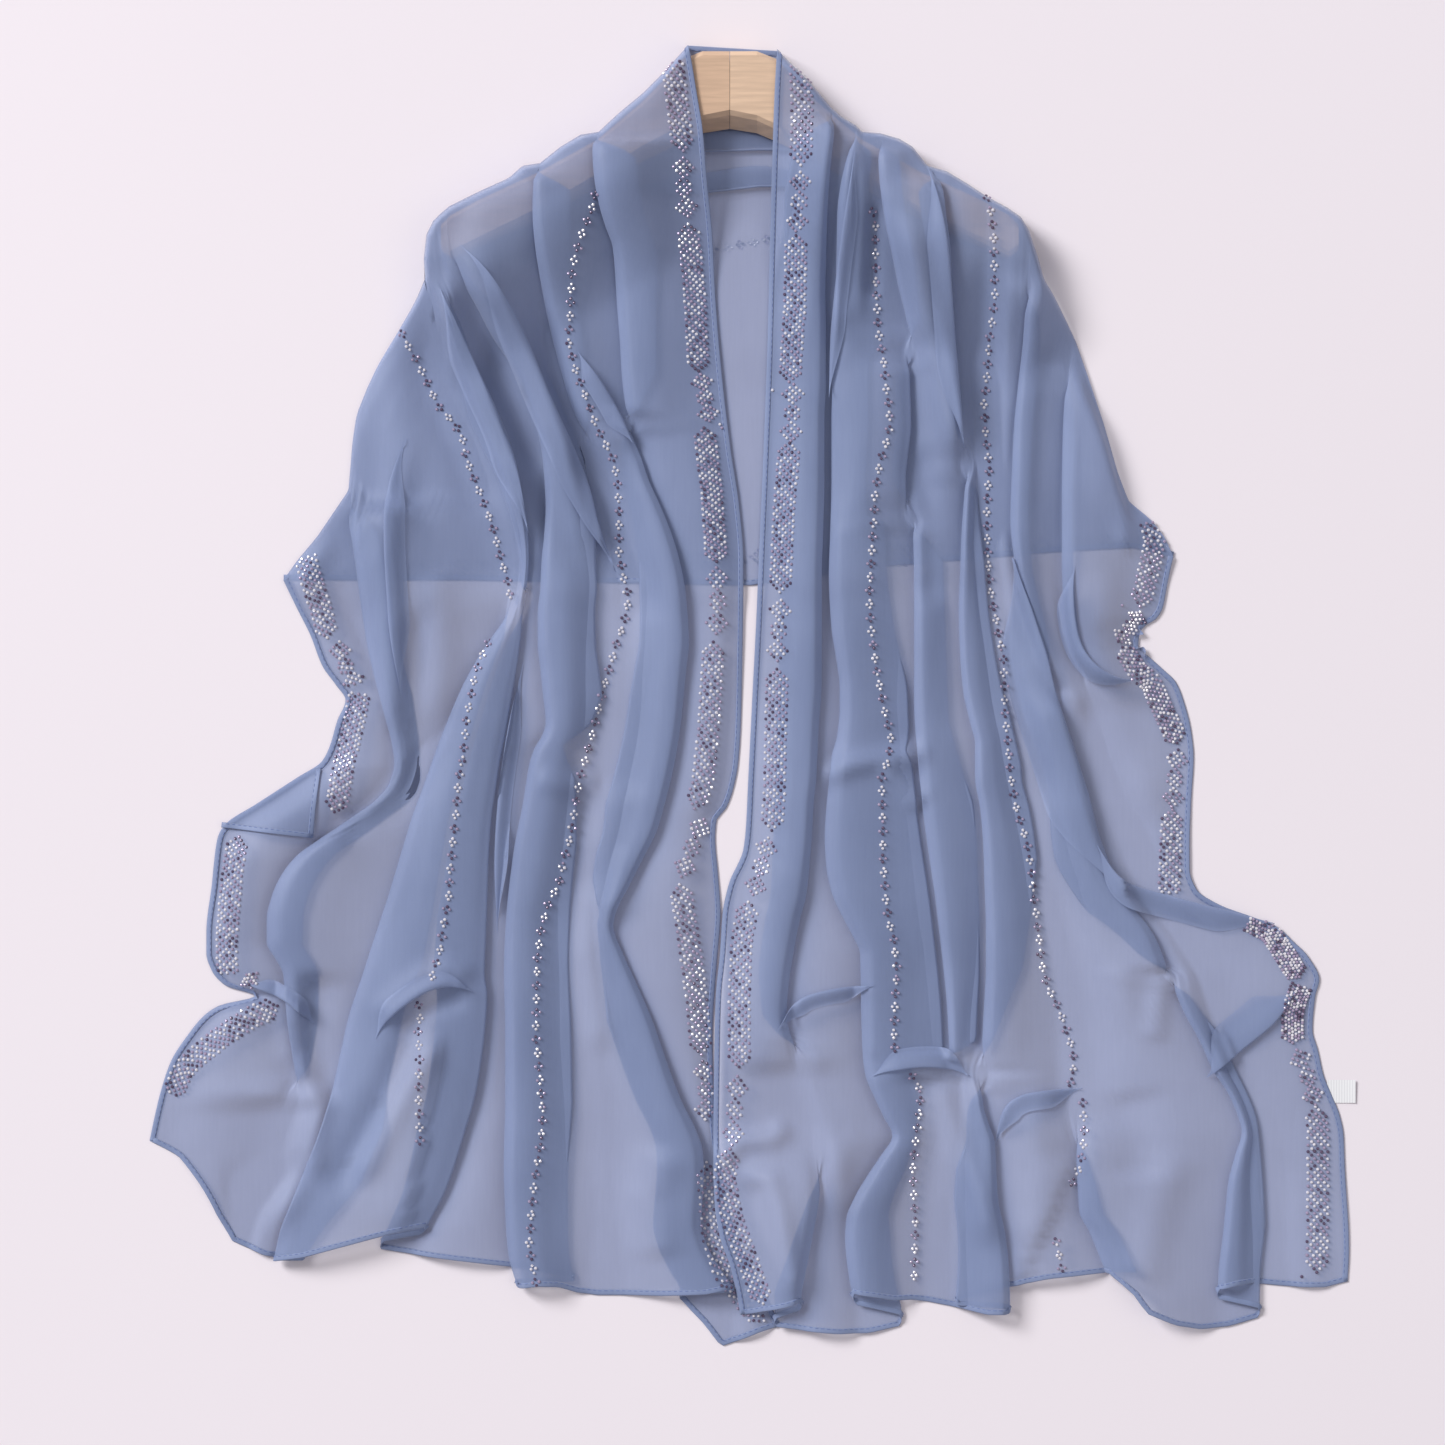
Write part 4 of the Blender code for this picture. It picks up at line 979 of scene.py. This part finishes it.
def joined(parts):
    allPoints, allFaces = [], []
    for points, faces in parts:
        base = sum(len(p) for p in allPoints)
        allFaces += [tuple(i + base for i in face) for face in faces]
        allPoints.append(points)
    return np.concatenate(allPoints), allFaces


def hemPieces(name, edges):
    rolls, dashes = [], []
    for edge, inner in edges:
        points, faces, inward, up = hemTube(edge, inner)
        rolls.append((points, faces))
        dashes.append(stitchMarks(edge, inward, up))
    roll = meshPiece(name + "Hem", *joined(rolls))
    return roll, meshPiece(name + "Thread", *joined(dashes), smoothed=False)


def edgesOf(grid, sides):
    picked = {
        "first": (grid[:, 0], grid[:, 2]), "last": (grid[:, -1], grid[:, -3]),
        "bottom": (grid[-1], grid[-2]), "top": (grid[0], grid[1]),
    }
    return [picked[side] for side in sides]


around = ("first", "last", "bottom")
hems = {
    "left": hemPieces("left", edgesOf(leftCloth, around) + edgesOf(flapCloth[1:], around[1:])),
    "right": hemPieces("right", edgesOf(rightCloth, around)),
    "back": hemPieces("back", edgesOf(backCloth, ("top", "bottom"))),
}
print("hems made", sum(len(p.data.polygons) for pair in hems.values() for p in pair), "faces")

stones = {
    "sides": 6,
    "radius": 1.28,
    "vary": (0.92, 1.08),
    "height": 1.1,
    "rings": ((1.0, 0.0), (0.86, 0.55), (0.5, 1.0)),    # width and height of its outlines, as shares
    "lift": 0.15,
    "backHeight": 0.45,         # those of the back lie under it
    "column": 2.45,             # spacing across a band
    "flower": 10.0,             # spacing along a row
    "flowers": ((2.3, 2.3, 2), (1.7, 2.7, 0)),          # reach across, reach along and tone, in turn
    "jitter": 0.35,
    "mixed": 0.65,              # share of band stones that leave the pattern, and the tones they take
    "mix": (0, 0, 0, 0, 1, 1, 1, 2),
    "odd": 0.1,                 # share of all stones that take any tone
}

# Bands of stones: "long" is a pointed medallion, and "pair" two diamonds with a smaller one between them.
# Then come the share of it that shows, from and to, and its line.
leftBands = (
    ("long", (0.45, 1.0), ((-57, 466), (-54, 436), (-49, 400))),
    ("pair", (0.0, 1.0), ((-49, 395), (-49, 372), (-46, 353))),
    ("long", (0.0, 1.0), ((-46, 348), (-41, 295), (-38, 240))),
    ("pair", (0.0, 1.0), ((-37, 238), (-33, 218), (-30, 203))),
    ("long", (0.0, 1.0), ((-34, 198), (-28, 146), (-25, 99))),
    ("pair", (0.0, 1.0), ((-25, 95), (-24, 70), (-25, 46))),
    ("long", (0.0, 1.0), ((-27, 40), (-28, 20), (-31, -28), (-35, -64), (-41, -83))),
    ("pair", (0.0, 1.0), ((-34, -91), (-41, -106), (-51, -133))),
    ("long", (0.0, 1.0), ((-52, -139), (-45, -183), (-39, -228), (-36, -265))),
    ("pair", (0.0, 1.0), ((-35, -270), (-33, -285), (-33, -313))),
    ("long", (0.0, 1.0), ((-32, -345), (-28, -400), (-20, -424), (-2, -450), (10, -462))),
    ("long", (0.42, 1.0), ((-329, 104), (-322, 79), (-316, 61), (-312, 43))),
    ("pair", (0.0, 0.9), ((-303, 40), (-303, 28), (-295, 17), (-292, 9))),
    ("long", (0.12, 1.0), ((-289, 2), (-291, -12), (-296, -33), (-301, -54), (-303, -70), (-307, -86))),
    ("long", (0.0, 0.97), ((-378, -104), (-382, -125), (-385, -157), (-387, -181), (-386, -206))),
    ("pair", (0.0, 0.4), ((-372, -206), (-366, -214))),
    (
        "long",
        (0.0, 0.98),
        ((-349, -229), (-368, -237), (-387, -249), (-405, -263), (-419, -276), (-427, -294)),
    ),
)
rightBands = (
    ("long", (0.42, 1.0), ((37, 464), (38, 426), (37, 389))),
    ("pair", (0.0, 1.0), ((37, 384), (36, 362), (34, 342))),
    ("long", (0.0, 1.0), ((34, 339), (33, 287), (29, 232))),
    ("pair", (0.0, 1.0), ((32, 230), (31, 208), (30, 188))),
    ("long", (0.0, 1.0), ((29, 187), (25, 135), (22, 77))),
    ("pair", (0.0, 1.0), ((23, 71), (21, 50), (20, 26))),
    ("long", (0.0, 1.0), ((20, 20), (19, -28), (18, -71), (16, -99))),
    ("pair", (0.0, 1.0), ((14, -105), (9, -123), (2, -147))),
    ("long", (0.0, 1.0), ((-1, -152), (-6, -180), (-8, -221), (-8, -274))),
    ("pair", (0.0, 1.0), ((-9, -281), (-12, -309), (-13, -331))),
    ("long", (0.0, 1.0), ((-15, -334), (-19, -357), (-13, -386), (-2, -416), (10, -448))),
    ("long", (0.42, 1.0), ((295, 130), (299, 114), (295, 95), (288, 66))),
    ("pair", (0.0, 1.0), ((288, 62), (285, 56), (272, 40))),
    ("long", (0.0, 1.0), ((275, 36), (286, 18), (296, 10), (304, -8), (311, -22), (316, -35))),
    ("pair", (0.0, 1.0), ((317, -40), (314, -58), (312, -82))),
    ("long", (0.0, 0.55), ((312, -84), (311, -110), (310, -146))),
    ("long", (0.05, 1.0), ((368, -166), (384, -174), (396, -192), (406, -208))),
    ("long", (0.3, 1.0), ((408, -214), (403, -226), (401, -236), (401, -256))),
    ("pair", (0.0, 1.0), ((404, -262), (412, -280), (418, -302))),
    ("long", (0.0, 1.0), ((418, -304), (420, -323), (420, -365), (419, -426))),
)
backBands = []
for i, x in enumerate((-300, -175, -125, 1, 51, 177, 227)):
    kind, length = (("long", 122), ("pair", 47))[i % 2]
    y = 103 + 0.035 * x
    backBands.append((kind, (0.0, 1.0), ((x, y), (x + length, y))))
strays = {"left": ((-22, 201), (-21, 198), (-43, 473)), "right": ((17, 226), (274, 67), (408, -429))}
leftRows = (
    (
        (-113, 370), (-117, 355), (-123, 340), (-128, 325), (-131, 310), (-132, 295), (-133, 275),
        (-134, 262), (-130, 245), (-125, 230), (-119, 215), (-114, 200), (-107, 187), (-101, 175),
        (-98, 160), (-97, 140), (-97, 105), (-94, 90), (-90, 72), (-93, 55), (-99, 38), (-105, 18),
        (-109, 3), (-114, -18), (-120, -40), (-126, -62), (-129, -80), (-133, -105), (-138, -122),
        (-141, -138), (-149, -153), (-154, -170), (-157, -190), (-158, -250), (-156, -270), (-153, -305),
        (-154, -325), (-157, -345), (-160, -365), (-163, -405), (-158, -432),
    ),
    (
        (-258, 270), (-252, 258), (-245, 245), (-238, 230), (-231, 215), (-220, 203), (-213, 192),
        (-211, 180), (-207, 168), (-202, 155), (-197, 143), (-192, 130), (-188, 117), (-184, 100),
        (-180, 88), (-176, 68),
    ),
    (
        (-192, 42), (-200, 25), (-204, 10), (-206, -2), (-209, -15), (-210, -28), (-212, -47), (-215, -62),
        (-216, -80), (-219, -108), (-221, -128), (-222, -148), (-225, -165), (-229, -190), (-234, -207),
    ),
    ((-245, -225), (-243, -237), (-245, -245), (-243, -265), (-244, -285), (-243, -335)),
)
rightRows = (
    (
        (89, 358), (92, 345), (92, 330), (93, 315), (93, 295), (94, 280), (95, 265), (98, 250), (99, 238),
        (100, 225), (102, 215), (103, 200), (100, 185), (95, 170), (92, 150), (91, 130), (90, 115),
        (89, 98), (88, 80), (88, 65), (89, 50), (91, 35), (94, 15), (97, 0), (100, -15), (104, -30),
        (102, -45), (97, -60), (98, -100), (98, -120), (100, -150), (102, -165), (106, -180), (108, -200),
        (107, -220), (106, -250), (107, -265),
    ),
    (
        (118, -278), (123, -285), (126, -295), (125, -305), (122, -330), (120, -350), (122, -390),
        (121, -430),
    ),
    (
        (173, 368), (176, 355), (178, 340), (179, 310), (180, 295), (179, 280), (177, 265), (176, 250),
        (175, 235), (173, 215), (175, 185), (177, 170), (175, 140), (176, 100), (177, 85), (180, 65),
        (184, 45), (187, 30), (188, 10), (188, -10), (190, -30), (192, -55), (197, -85), (202, -100),
        (206, -115), (210, -150), (214, -185), (216, -200), (220, -215), (228, -230), (234, -248),
        (239, -262), (239, -278), (236, -290),
    ),
    ((246, -298), (247, -320), (246, -335), (242, -352), (238, -360)),
    ((225, -400), (228, -412), (230, -423)),
)
backRows = (((-290, 322), (-27, 330), (12, 338), (240, 334)),)
rng = np.random.default_rng(7)


def pathReader(points):
    line = np.array(points, float)
    lengths = lengthsAlong(line)

    def read(s):
        near, far = max(0.0, s - 4.0), min(lengths[-1], s + 4.0)
        ahead = unit(pointAt(far, lengths, line) - pointAt(near, lengths, line))
        return pointAt(s, lengths, line), np.array([-ahead[1], ahead[0]])

    return read, lengths[-1]


# Stones sit on a staggered lattice, and their tones run in nested diamonds: 0 silver, 1 mauve, 2 plum.
def bandChart(kind):
    spots = []
    if kind == "long":
        rows = 48
        for j in range(rows + 1):
            reach = min(3, j, rows - j)
            for i in range(-reach, reach + 1):
                if (i + j) % 2 == 0:
                    ring = (abs(i) + abs(j - rows // 2)) // 2
                    spots.append((j / rows, i, (2, 1, 0, 1, 0, 1)[ring % 6]))
        return spots
    for start, most in ((0, 3), (6, 2), (12, 3)):
        for j in range(7):
            reach = min(most, j, 6 - j)
            for i in range(-reach, reach + 1):
                if (i + j) % 2 == 0 and (start != 6 or 0 < j < 6):
                    spots.append(((start + j) / 18.0, i, (0, 0, 1, 1)[(abs(i) + abs(j - 3)) % 4]))
    return spots


def bandSpots(bands):
    spots = []
    for kind, (low, high), points in bands:
        read, length = pathReader(points)
        for share, i, tone in bandChart(kind):
            if low <= share <= high:
                spot, side = read((share - low) / (high - low) * length)
                if rng.random() < stones["mixed"]:
                    tone = int(rng.choice(stones["mix"]))
                spots.append((*(spot + side * i * stones["column"]), tone))
    return spots


def rowSpots(rows):
    spots = []
    for points in rows:
        read, length = pathReader(points)
        for n, s in enumerate(np.arange(3.0, length, stones["flower"])):
            wide, long, tone = stones["flowers"][n % 2]
            spot, side = read(s)
            ahead = np.array([side[1], -side[0]])
            for a, b in ((0.0, 1.0), (0.0, -1.0), (1.0, 0.0), (-1.0, 0.0)):
                spots.append((*(spot + side * a * wide + ahead * b * long), tone if b or n % 2 else 1))
    return spots


def stonePiece(name, spots, grids, below=False):
    tree = treeOf(grids)
    sides = stones["sides"]
    facets = 2 * sides + 1
    corners = [(math.cos(a), math.sin(a)) for a in np.linspace(0.0, 2.0 * math.pi, sides, endpoint=False)]
    points, faces, tones = [], [], []
    for x, y, tone in spots:
        x, y = np.array([x, y]) + rng.uniform(-1.0, 1.0, 2) * stones["jitter"]
        hit, normal, _, _ = tree.ray_cast(Vector((x, y, 60.0)), Vector((0.0, 0.0, -1.0)))
        if hit is None:
            continue
        normal = np.array(normal if normal.z > 0.0 else -normal)
        hit = np.array(hit)
        height, lift = stones["height"], stones["lift"]
        if below:
            normal, height, lift = -normal, stones["backHeight"], 0.0
        side = unit(np.cross(normal, (0.0, 1.0, 0.05)))
        ahead = np.cross(normal, side)
        base = len(points)
        size = stones["radius"] * rng.uniform(*stones["vary"])
        for reach, level in stones["rings"]:
            for a, b in corners:
                points.append(hit + (side * a + ahead * b) * size * reach + normal * (lift + level * height))
        for ring in (base, base + sides):
            for i in range(sides):
                j = (i + 1) % sides
                faces.append((ring + i, ring + j, ring + sides + j, ring + sides + i))
        faces.append(tuple(base + 2 * sides + i for i in range(sides)))
        if rng.random() < stones["odd"]:
            tone = int(rng.integers(0, 3))
        tones += [tone] * facets
    points = np.array(points)
    points[:, 2] = np.maximum(points[:, 2], hem["least"])
    print(name, len(tones) // facets, "stones")
    return meshPiece(name, points, faces, smoothed=False, materialOf=tones)


studs = {}
for side, bands, rows, grids in (
    ("left", leftBands, leftRows, [leftCloth, *leftFolds]),
    ("right", rightBands, rightRows, [rightCloth, *rightFolds]),
    ("back", backBands, backRows, [backCloth]),
):
    spots = bandSpots(bands) + rowSpots(rows)
    spots += [(x, y, n % 3) for n, (x, y) in enumerate(strays.get(side, ()))]
    studs[side + "Stones"] = stonePiece(side + "Stones", spots, grids, below=side == "back")


# Materials
def linear(hexColour):
    values = [int(hexColour[i:i + 2], 16) / 255.0 for i in (1, 3, 5)]
    return tuple(v / 12.92 if v <= 0.04045 else ((v + 0.055) / 1.055) ** 2.4 for v in values) + (1.0,)


def addNode(tree, kind, settings=None, links=None):
    node = tree.nodes.new(kind)
    for key, value in (settings or {}).items():
        if key in node.inputs.keys():
            node.inputs[key].default_value = value
        else:
            setattr(node, key, value)
    for key, source in (links or {}).items():
        tree.links.new(source, node.inputs[key])
    return node


def newMaterial(name):
    material = bpy.data.materials.new(name)
    material.use_nodes = True
    return material, material.node_tree, material.node_tree.nodes["Principled BSDF"]


def shaded(hexColour, share):
    return tuple(min(1.0, v * share) for v in linear(hexColour)[:3]) + (1.0,)


# A material whose tone drifts between two colours with a pattern
def mottled(name, pattern, settings, colours, roughness):
    material, tree, shader = newMaterial(name)
    place = addNode(tree, "ShaderNodeTexCoord")
    drift = addNode(tree, pattern, settings, {"Vector": place.outputs["Object"]})
    tone = addNode(tree, "ShaderNodeValToRGB", None, {"Fac": drift.outputs["Fac"]})
    for i in (0, 1):
        tone.color_ramp.elements[i].color = colours[i]
    tree.links.new(tone.outputs["Color"], shader.inputs["Base Color"])
    shader.inputs["Roughness"].default_value = roughness
    return material


chiffon = {
    "light": "#94a3ca",
    "deep": "#8796bd",
    "ends": (0.48, 0.88),       # where in the pattern the two tones are reached
    "alpha": 0.62,
    "hemAlpha": 0.75,           # the hem's cloth lies double
    "roughness": 0.6,
    "sheen": 0.3,
    "cloud": 9.0,               # drifts of tone about 11 cm across
    "yarn": 520.0,              # streaks about 2 mm across
    "yarnShare": 0.2,
    "pebble": 700.0,            # crepe grain of about 1.4 mm
}


# Polyester chiffon, crepe-twisted yarn woven open: matt, see-through, with a faint grainy pebble.
def chiffonMaterial(name, alpha):
    material, tree, shader = newMaterial(name)
    place = addNode(tree, "ShaderNodeTexCoord")
    spot = {"Vector": place.outputs["Object"]}
    cloudy = addNode(tree, "ShaderNodeTexNoise", {"Scale": chiffon["cloud"], "Detail": 3.0}, spot)
    stretched = addNode(tree, "ShaderNodeMapping", {"Scale": (1.0, 0.07, 1.0)}, spot)
    # The yarns are finer than this, and are drawn coarser so that their streaks show from a step away.
    yarns = addNode(tree, "ShaderNodeTexNoise", {"Scale": chiffon["yarn"], "Detail": 1.0},
                    {"Vector": stretched.outputs["Vector"]})
    both = addNode(tree, "ShaderNodeMath", {"operation": "MULTIPLY_ADD"})
    both.inputs[1].default_value = chiffon["yarnShare"]
    tree.links.new(yarns.outputs["Fac"], both.inputs[0])
    tree.links.new(cloudy.outputs["Fac"], both.inputs[2])
    tone = addNode(tree, "ShaderNodeValToRGB", None, {"Fac": both.outputs["Value"]})
    for i, colour in enumerate((chiffon["deep"], chiffon["light"])):
        tone.color_ramp.elements[i].color = linear(colour)
        tone.color_ramp.elements[i].position = chiffon["ends"][i]
    tree.links.new(tone.outputs["Color"], shader.inputs["Base Color"])
    pebble = addNode(tree, "ShaderNodeTexNoise", {"Scale": chiffon["pebble"], "Detail": 2.0}, spot)
    bump = addNode(tree, "ShaderNodeBump", {"Strength": 0.12, "Distance": 0.0004},
                   {"Height": pebble.outputs["Fac"]})
    tree.links.new(bump.outputs["Normal"], shader.inputs["Normal"])
    shader.inputs["Roughness"].default_value = chiffon["roughness"]
    shader.inputs["Alpha"].default_value = alpha
    shader.inputs["Sheen Weight"].default_value = chiffon["sheen"]
    shader.inputs["Sheen Roughness"].default_value = 0.5
    return material


clothMaterial = chiffonMaterial("polyesterChiffon", chiffon["alpha"])
for name, piece in pieces.items():
    if name != "careLabel":
        piece.data.materials.append(clothMaterial)

beech = {
    "left": "#d2b196",
    "right": "#dcbda2",
    "shades": (0.84, 1.08),     # the flecks and the lightest grain, as shares of the colour
    "ends": (0.28, 0.66),
    "tilt": 0.25,
    "roughness": 0.42,
}


# Steamed beech, planed and clear lacquered: close straight grain with short darker flecks.
def beechMaterial(name, colour, tilt):
    material, tree, shader = newMaterial(name)
    place = addNode(tree, "ShaderNodeTexCoord")
    turned = addNode(tree, "ShaderNodeMapping", {"Rotation": (0.0, 0.0, tilt), "Scale": (12.0, 190.0, 60.0)},
                     {"Vector": place.outputs["Object"]})
    grain = addNode(tree, "ShaderNodeTexNoise", {"Scale": 1.6, "Detail": 6.0, "Roughness": 0.6},
                    {"Vector": turned.outputs["Vector"]})
    tone = addNode(tree, "ShaderNodeValToRGB", None, {"Fac": grain.outputs["Fac"]})
    for i, shade in enumerate(beech["shades"]):
        tone.color_ramp.elements[i].color = shaded(colour, shade)
        tone.color_ramp.elements[i].position = beech["ends"][i]
    tree.links.new(tone.outputs["Color"], shader.inputs["Base Color"])
    bump = addNode(tree, "ShaderNodeBump", {"Strength": 0.1, "Distance": 0.0003},
                   {"Height": grain.outputs["Fac"]})
    tree.links.new(bump.outputs["Normal"], shader.inputs["Normal"])
    shader.inputs["Roughness"].default_value = beech["roughness"]
    return material


for side, tilt in (("left", beech["tilt"]), ("right", -beech["tilt"])):
    solid = bpy.data.objects["hanger_" + side]
    solid.data.materials.clear()
    solid.data.materials.append(beechMaterial("beech_hanger_" + side, beech[side], tilt))

# Foil-backed glass stones: a bright sharp glint on a grey, mauve or plum body.
gems = {
    "glasses": (            # name, colour and roughness
        ("silverGlass", "#eeeaf3", 0.16),
        ("mauveGlass", "#b0a1bd", 0.2),
        ("plumGlass", "#65556f", 0.22),
    ),
    "shades": (0.7, 1.15),
    "drift": 260.0,             # tones change over about 4 mm, so from stone to stone
    "metallic": 0.2,
}
for name, colour, roughness in gems["glasses"]:
    glass = mottled(name, "ShaderNodeTexNoise", {"Scale": gems["drift"], "Detail": 1.0},
                    [shaded(colour, shade) for shade in gems["shades"]], roughness)
    glass.node_tree.nodes["Principled BSDF"].inputs["Metallic"].default_value = gems["metallic"]
    for piece in studs.values():
        piece.data.materials.append(glass)

# Sewing thread a little deeper than the cloth, uneven from its twist, which shows every 2 mm.
threadLook = {"deep": "#55659a", "light": "#6878ac", "twist": 500.0, "roughness": 0.7}
thread = mottled("sewingThread", "ShaderNodeTexNoise", {"Scale": threadLook["twist"]},
                 (linear(threadLook["deep"]), linear(threadLook["light"])), threadLook["roughness"])
hemCloth = chiffonMaterial("turnedHem", chiffon["hemAlpha"])
for roll, sewing in hems.values():
    roll.data.materials.append(hemCloth)
    sewing.data.materials.append(thread)

# Woven satin tape: off-white and smooth, with a faint even rib, drawn 2 mm wide so that it shows.
tapeLook = {"deep": "#e3e3e6", "light": "#f4f4f6", "rib": 160.0, "waver": 0.4, "roughness": 0.45}
satin = mottled("wovenSatin", "ShaderNodeTexWave", {"Scale": tapeLook["rib"], "Distortion": tapeLook["waver"]},
                (linear(tapeLook["deep"]), linear(tapeLook["light"])), tapeLook["roughness"])
pieces["careLabel"].data.materials.append(satin)
print("materials made")

# Stage: a plain matt sheet of pale paper whose tone drifts very slowly, over more than a metre
paperLook = {"deep": "#ece4ea", "light": "#f1e9ef", "drift": 0.8, "roughness": 0.9}
floorMesh = bpy.data.meshes.new("studioTable")
floorBuild = bmesh.new()
bmesh.ops.create_grid(floorBuild, x_segments=1, y_segments=1, size=4.0)
floorBuild.to_mesh(floorMesh)
floorBuild.free()
table = bpy.data.objects.new("studioTable", floorMesh)
table.location.z = -0.0004
bpy.context.scene.collection.objects.link(table)
paper = mottled("mattPaper", "ShaderNodeTexNoise", {"Scale": paperLook["drift"]},
                (linear(paperLook["deep"]), linear(paperLook["light"])), paperLook["roughness"])
floorMesh.materials.append(paper)

lights = {
    "key": {"place": (-8.7, 6.3, 7.6), "size": 5.0, "power": 1790.0},
    "fill": {"place": (3.6, -0.8, 4.8), "size": 4.0, "power": 34.0},
    "world": 0.36,
}
for name in ("key", "fill"):
    values = lights[name]
    lamp = bpy.data.lights.new(name, "AREA")
    lamp.size = values["size"]
    lamp.energy = values["power"]
    holder = bpy.data.objects.new(name, lamp)
    holder.location = values["place"]
    holder.rotation_euler = (-Vector(values["place"])).to_track_quat("-Z", "Y").to_euler()
    bpy.context.scene.collection.objects.link(holder)
world = bpy.data.worlds.new("studio")
world.use_nodes = True
world.node_tree.nodes["Background"].inputs["Color"].default_value = (0.98, 0.96, 1.0, 1.0)
world.node_tree.nodes["Background"].inputs["Strength"].default_value = lights["world"]
bpy.context.scene.world = world
bpy.context.scene.view_settings.view_transform = "Standard"

# The camera looks straight down, and its frame is the photograph's: 1445 pixels of 0.74 mm.
camera = {"height": 3.2, "frame": 1.0693, "centre": (-0.02035, -0.0196), "sensor": 36.0}
lens = bpy.data.cameras.new("camera")
lens.sensor_width = camera["sensor"]
lens.lens = camera["sensor"] * camera["height"] / camera["frame"]
eye = bpy.data.objects.new("camera", lens)
eye.location = (camera["centre"][0] - middle[0] * mm, camera["centre"][1] - middle[1] * mm, camera["height"])
bpy.context.scene.collection.objects.link(eye)
bpy.context.scene.camera = eye

sheets = {
    "leftDrape": ("left", (0.70, 0.86), 0.50, ["back", "hanger_left"]),
    "rightDrape": ("right", (0.70, 0.86), 0.50, ["back", "hanger_right"]),
    "backDrape": ("back", (0.66, 0.46), 0.20, ["hanger_left", "hanger_right"]),
}
for name, (side, flat, area, under) in sheets.items():
    going = [*hems[side], studs[side + "Stones"]]
    going += [piece for other, piece in pieces.items() if other.startswith((side + "Flap", side + "Fold"))]
    if side == "right":
        going.append(pieces["careLabel"])
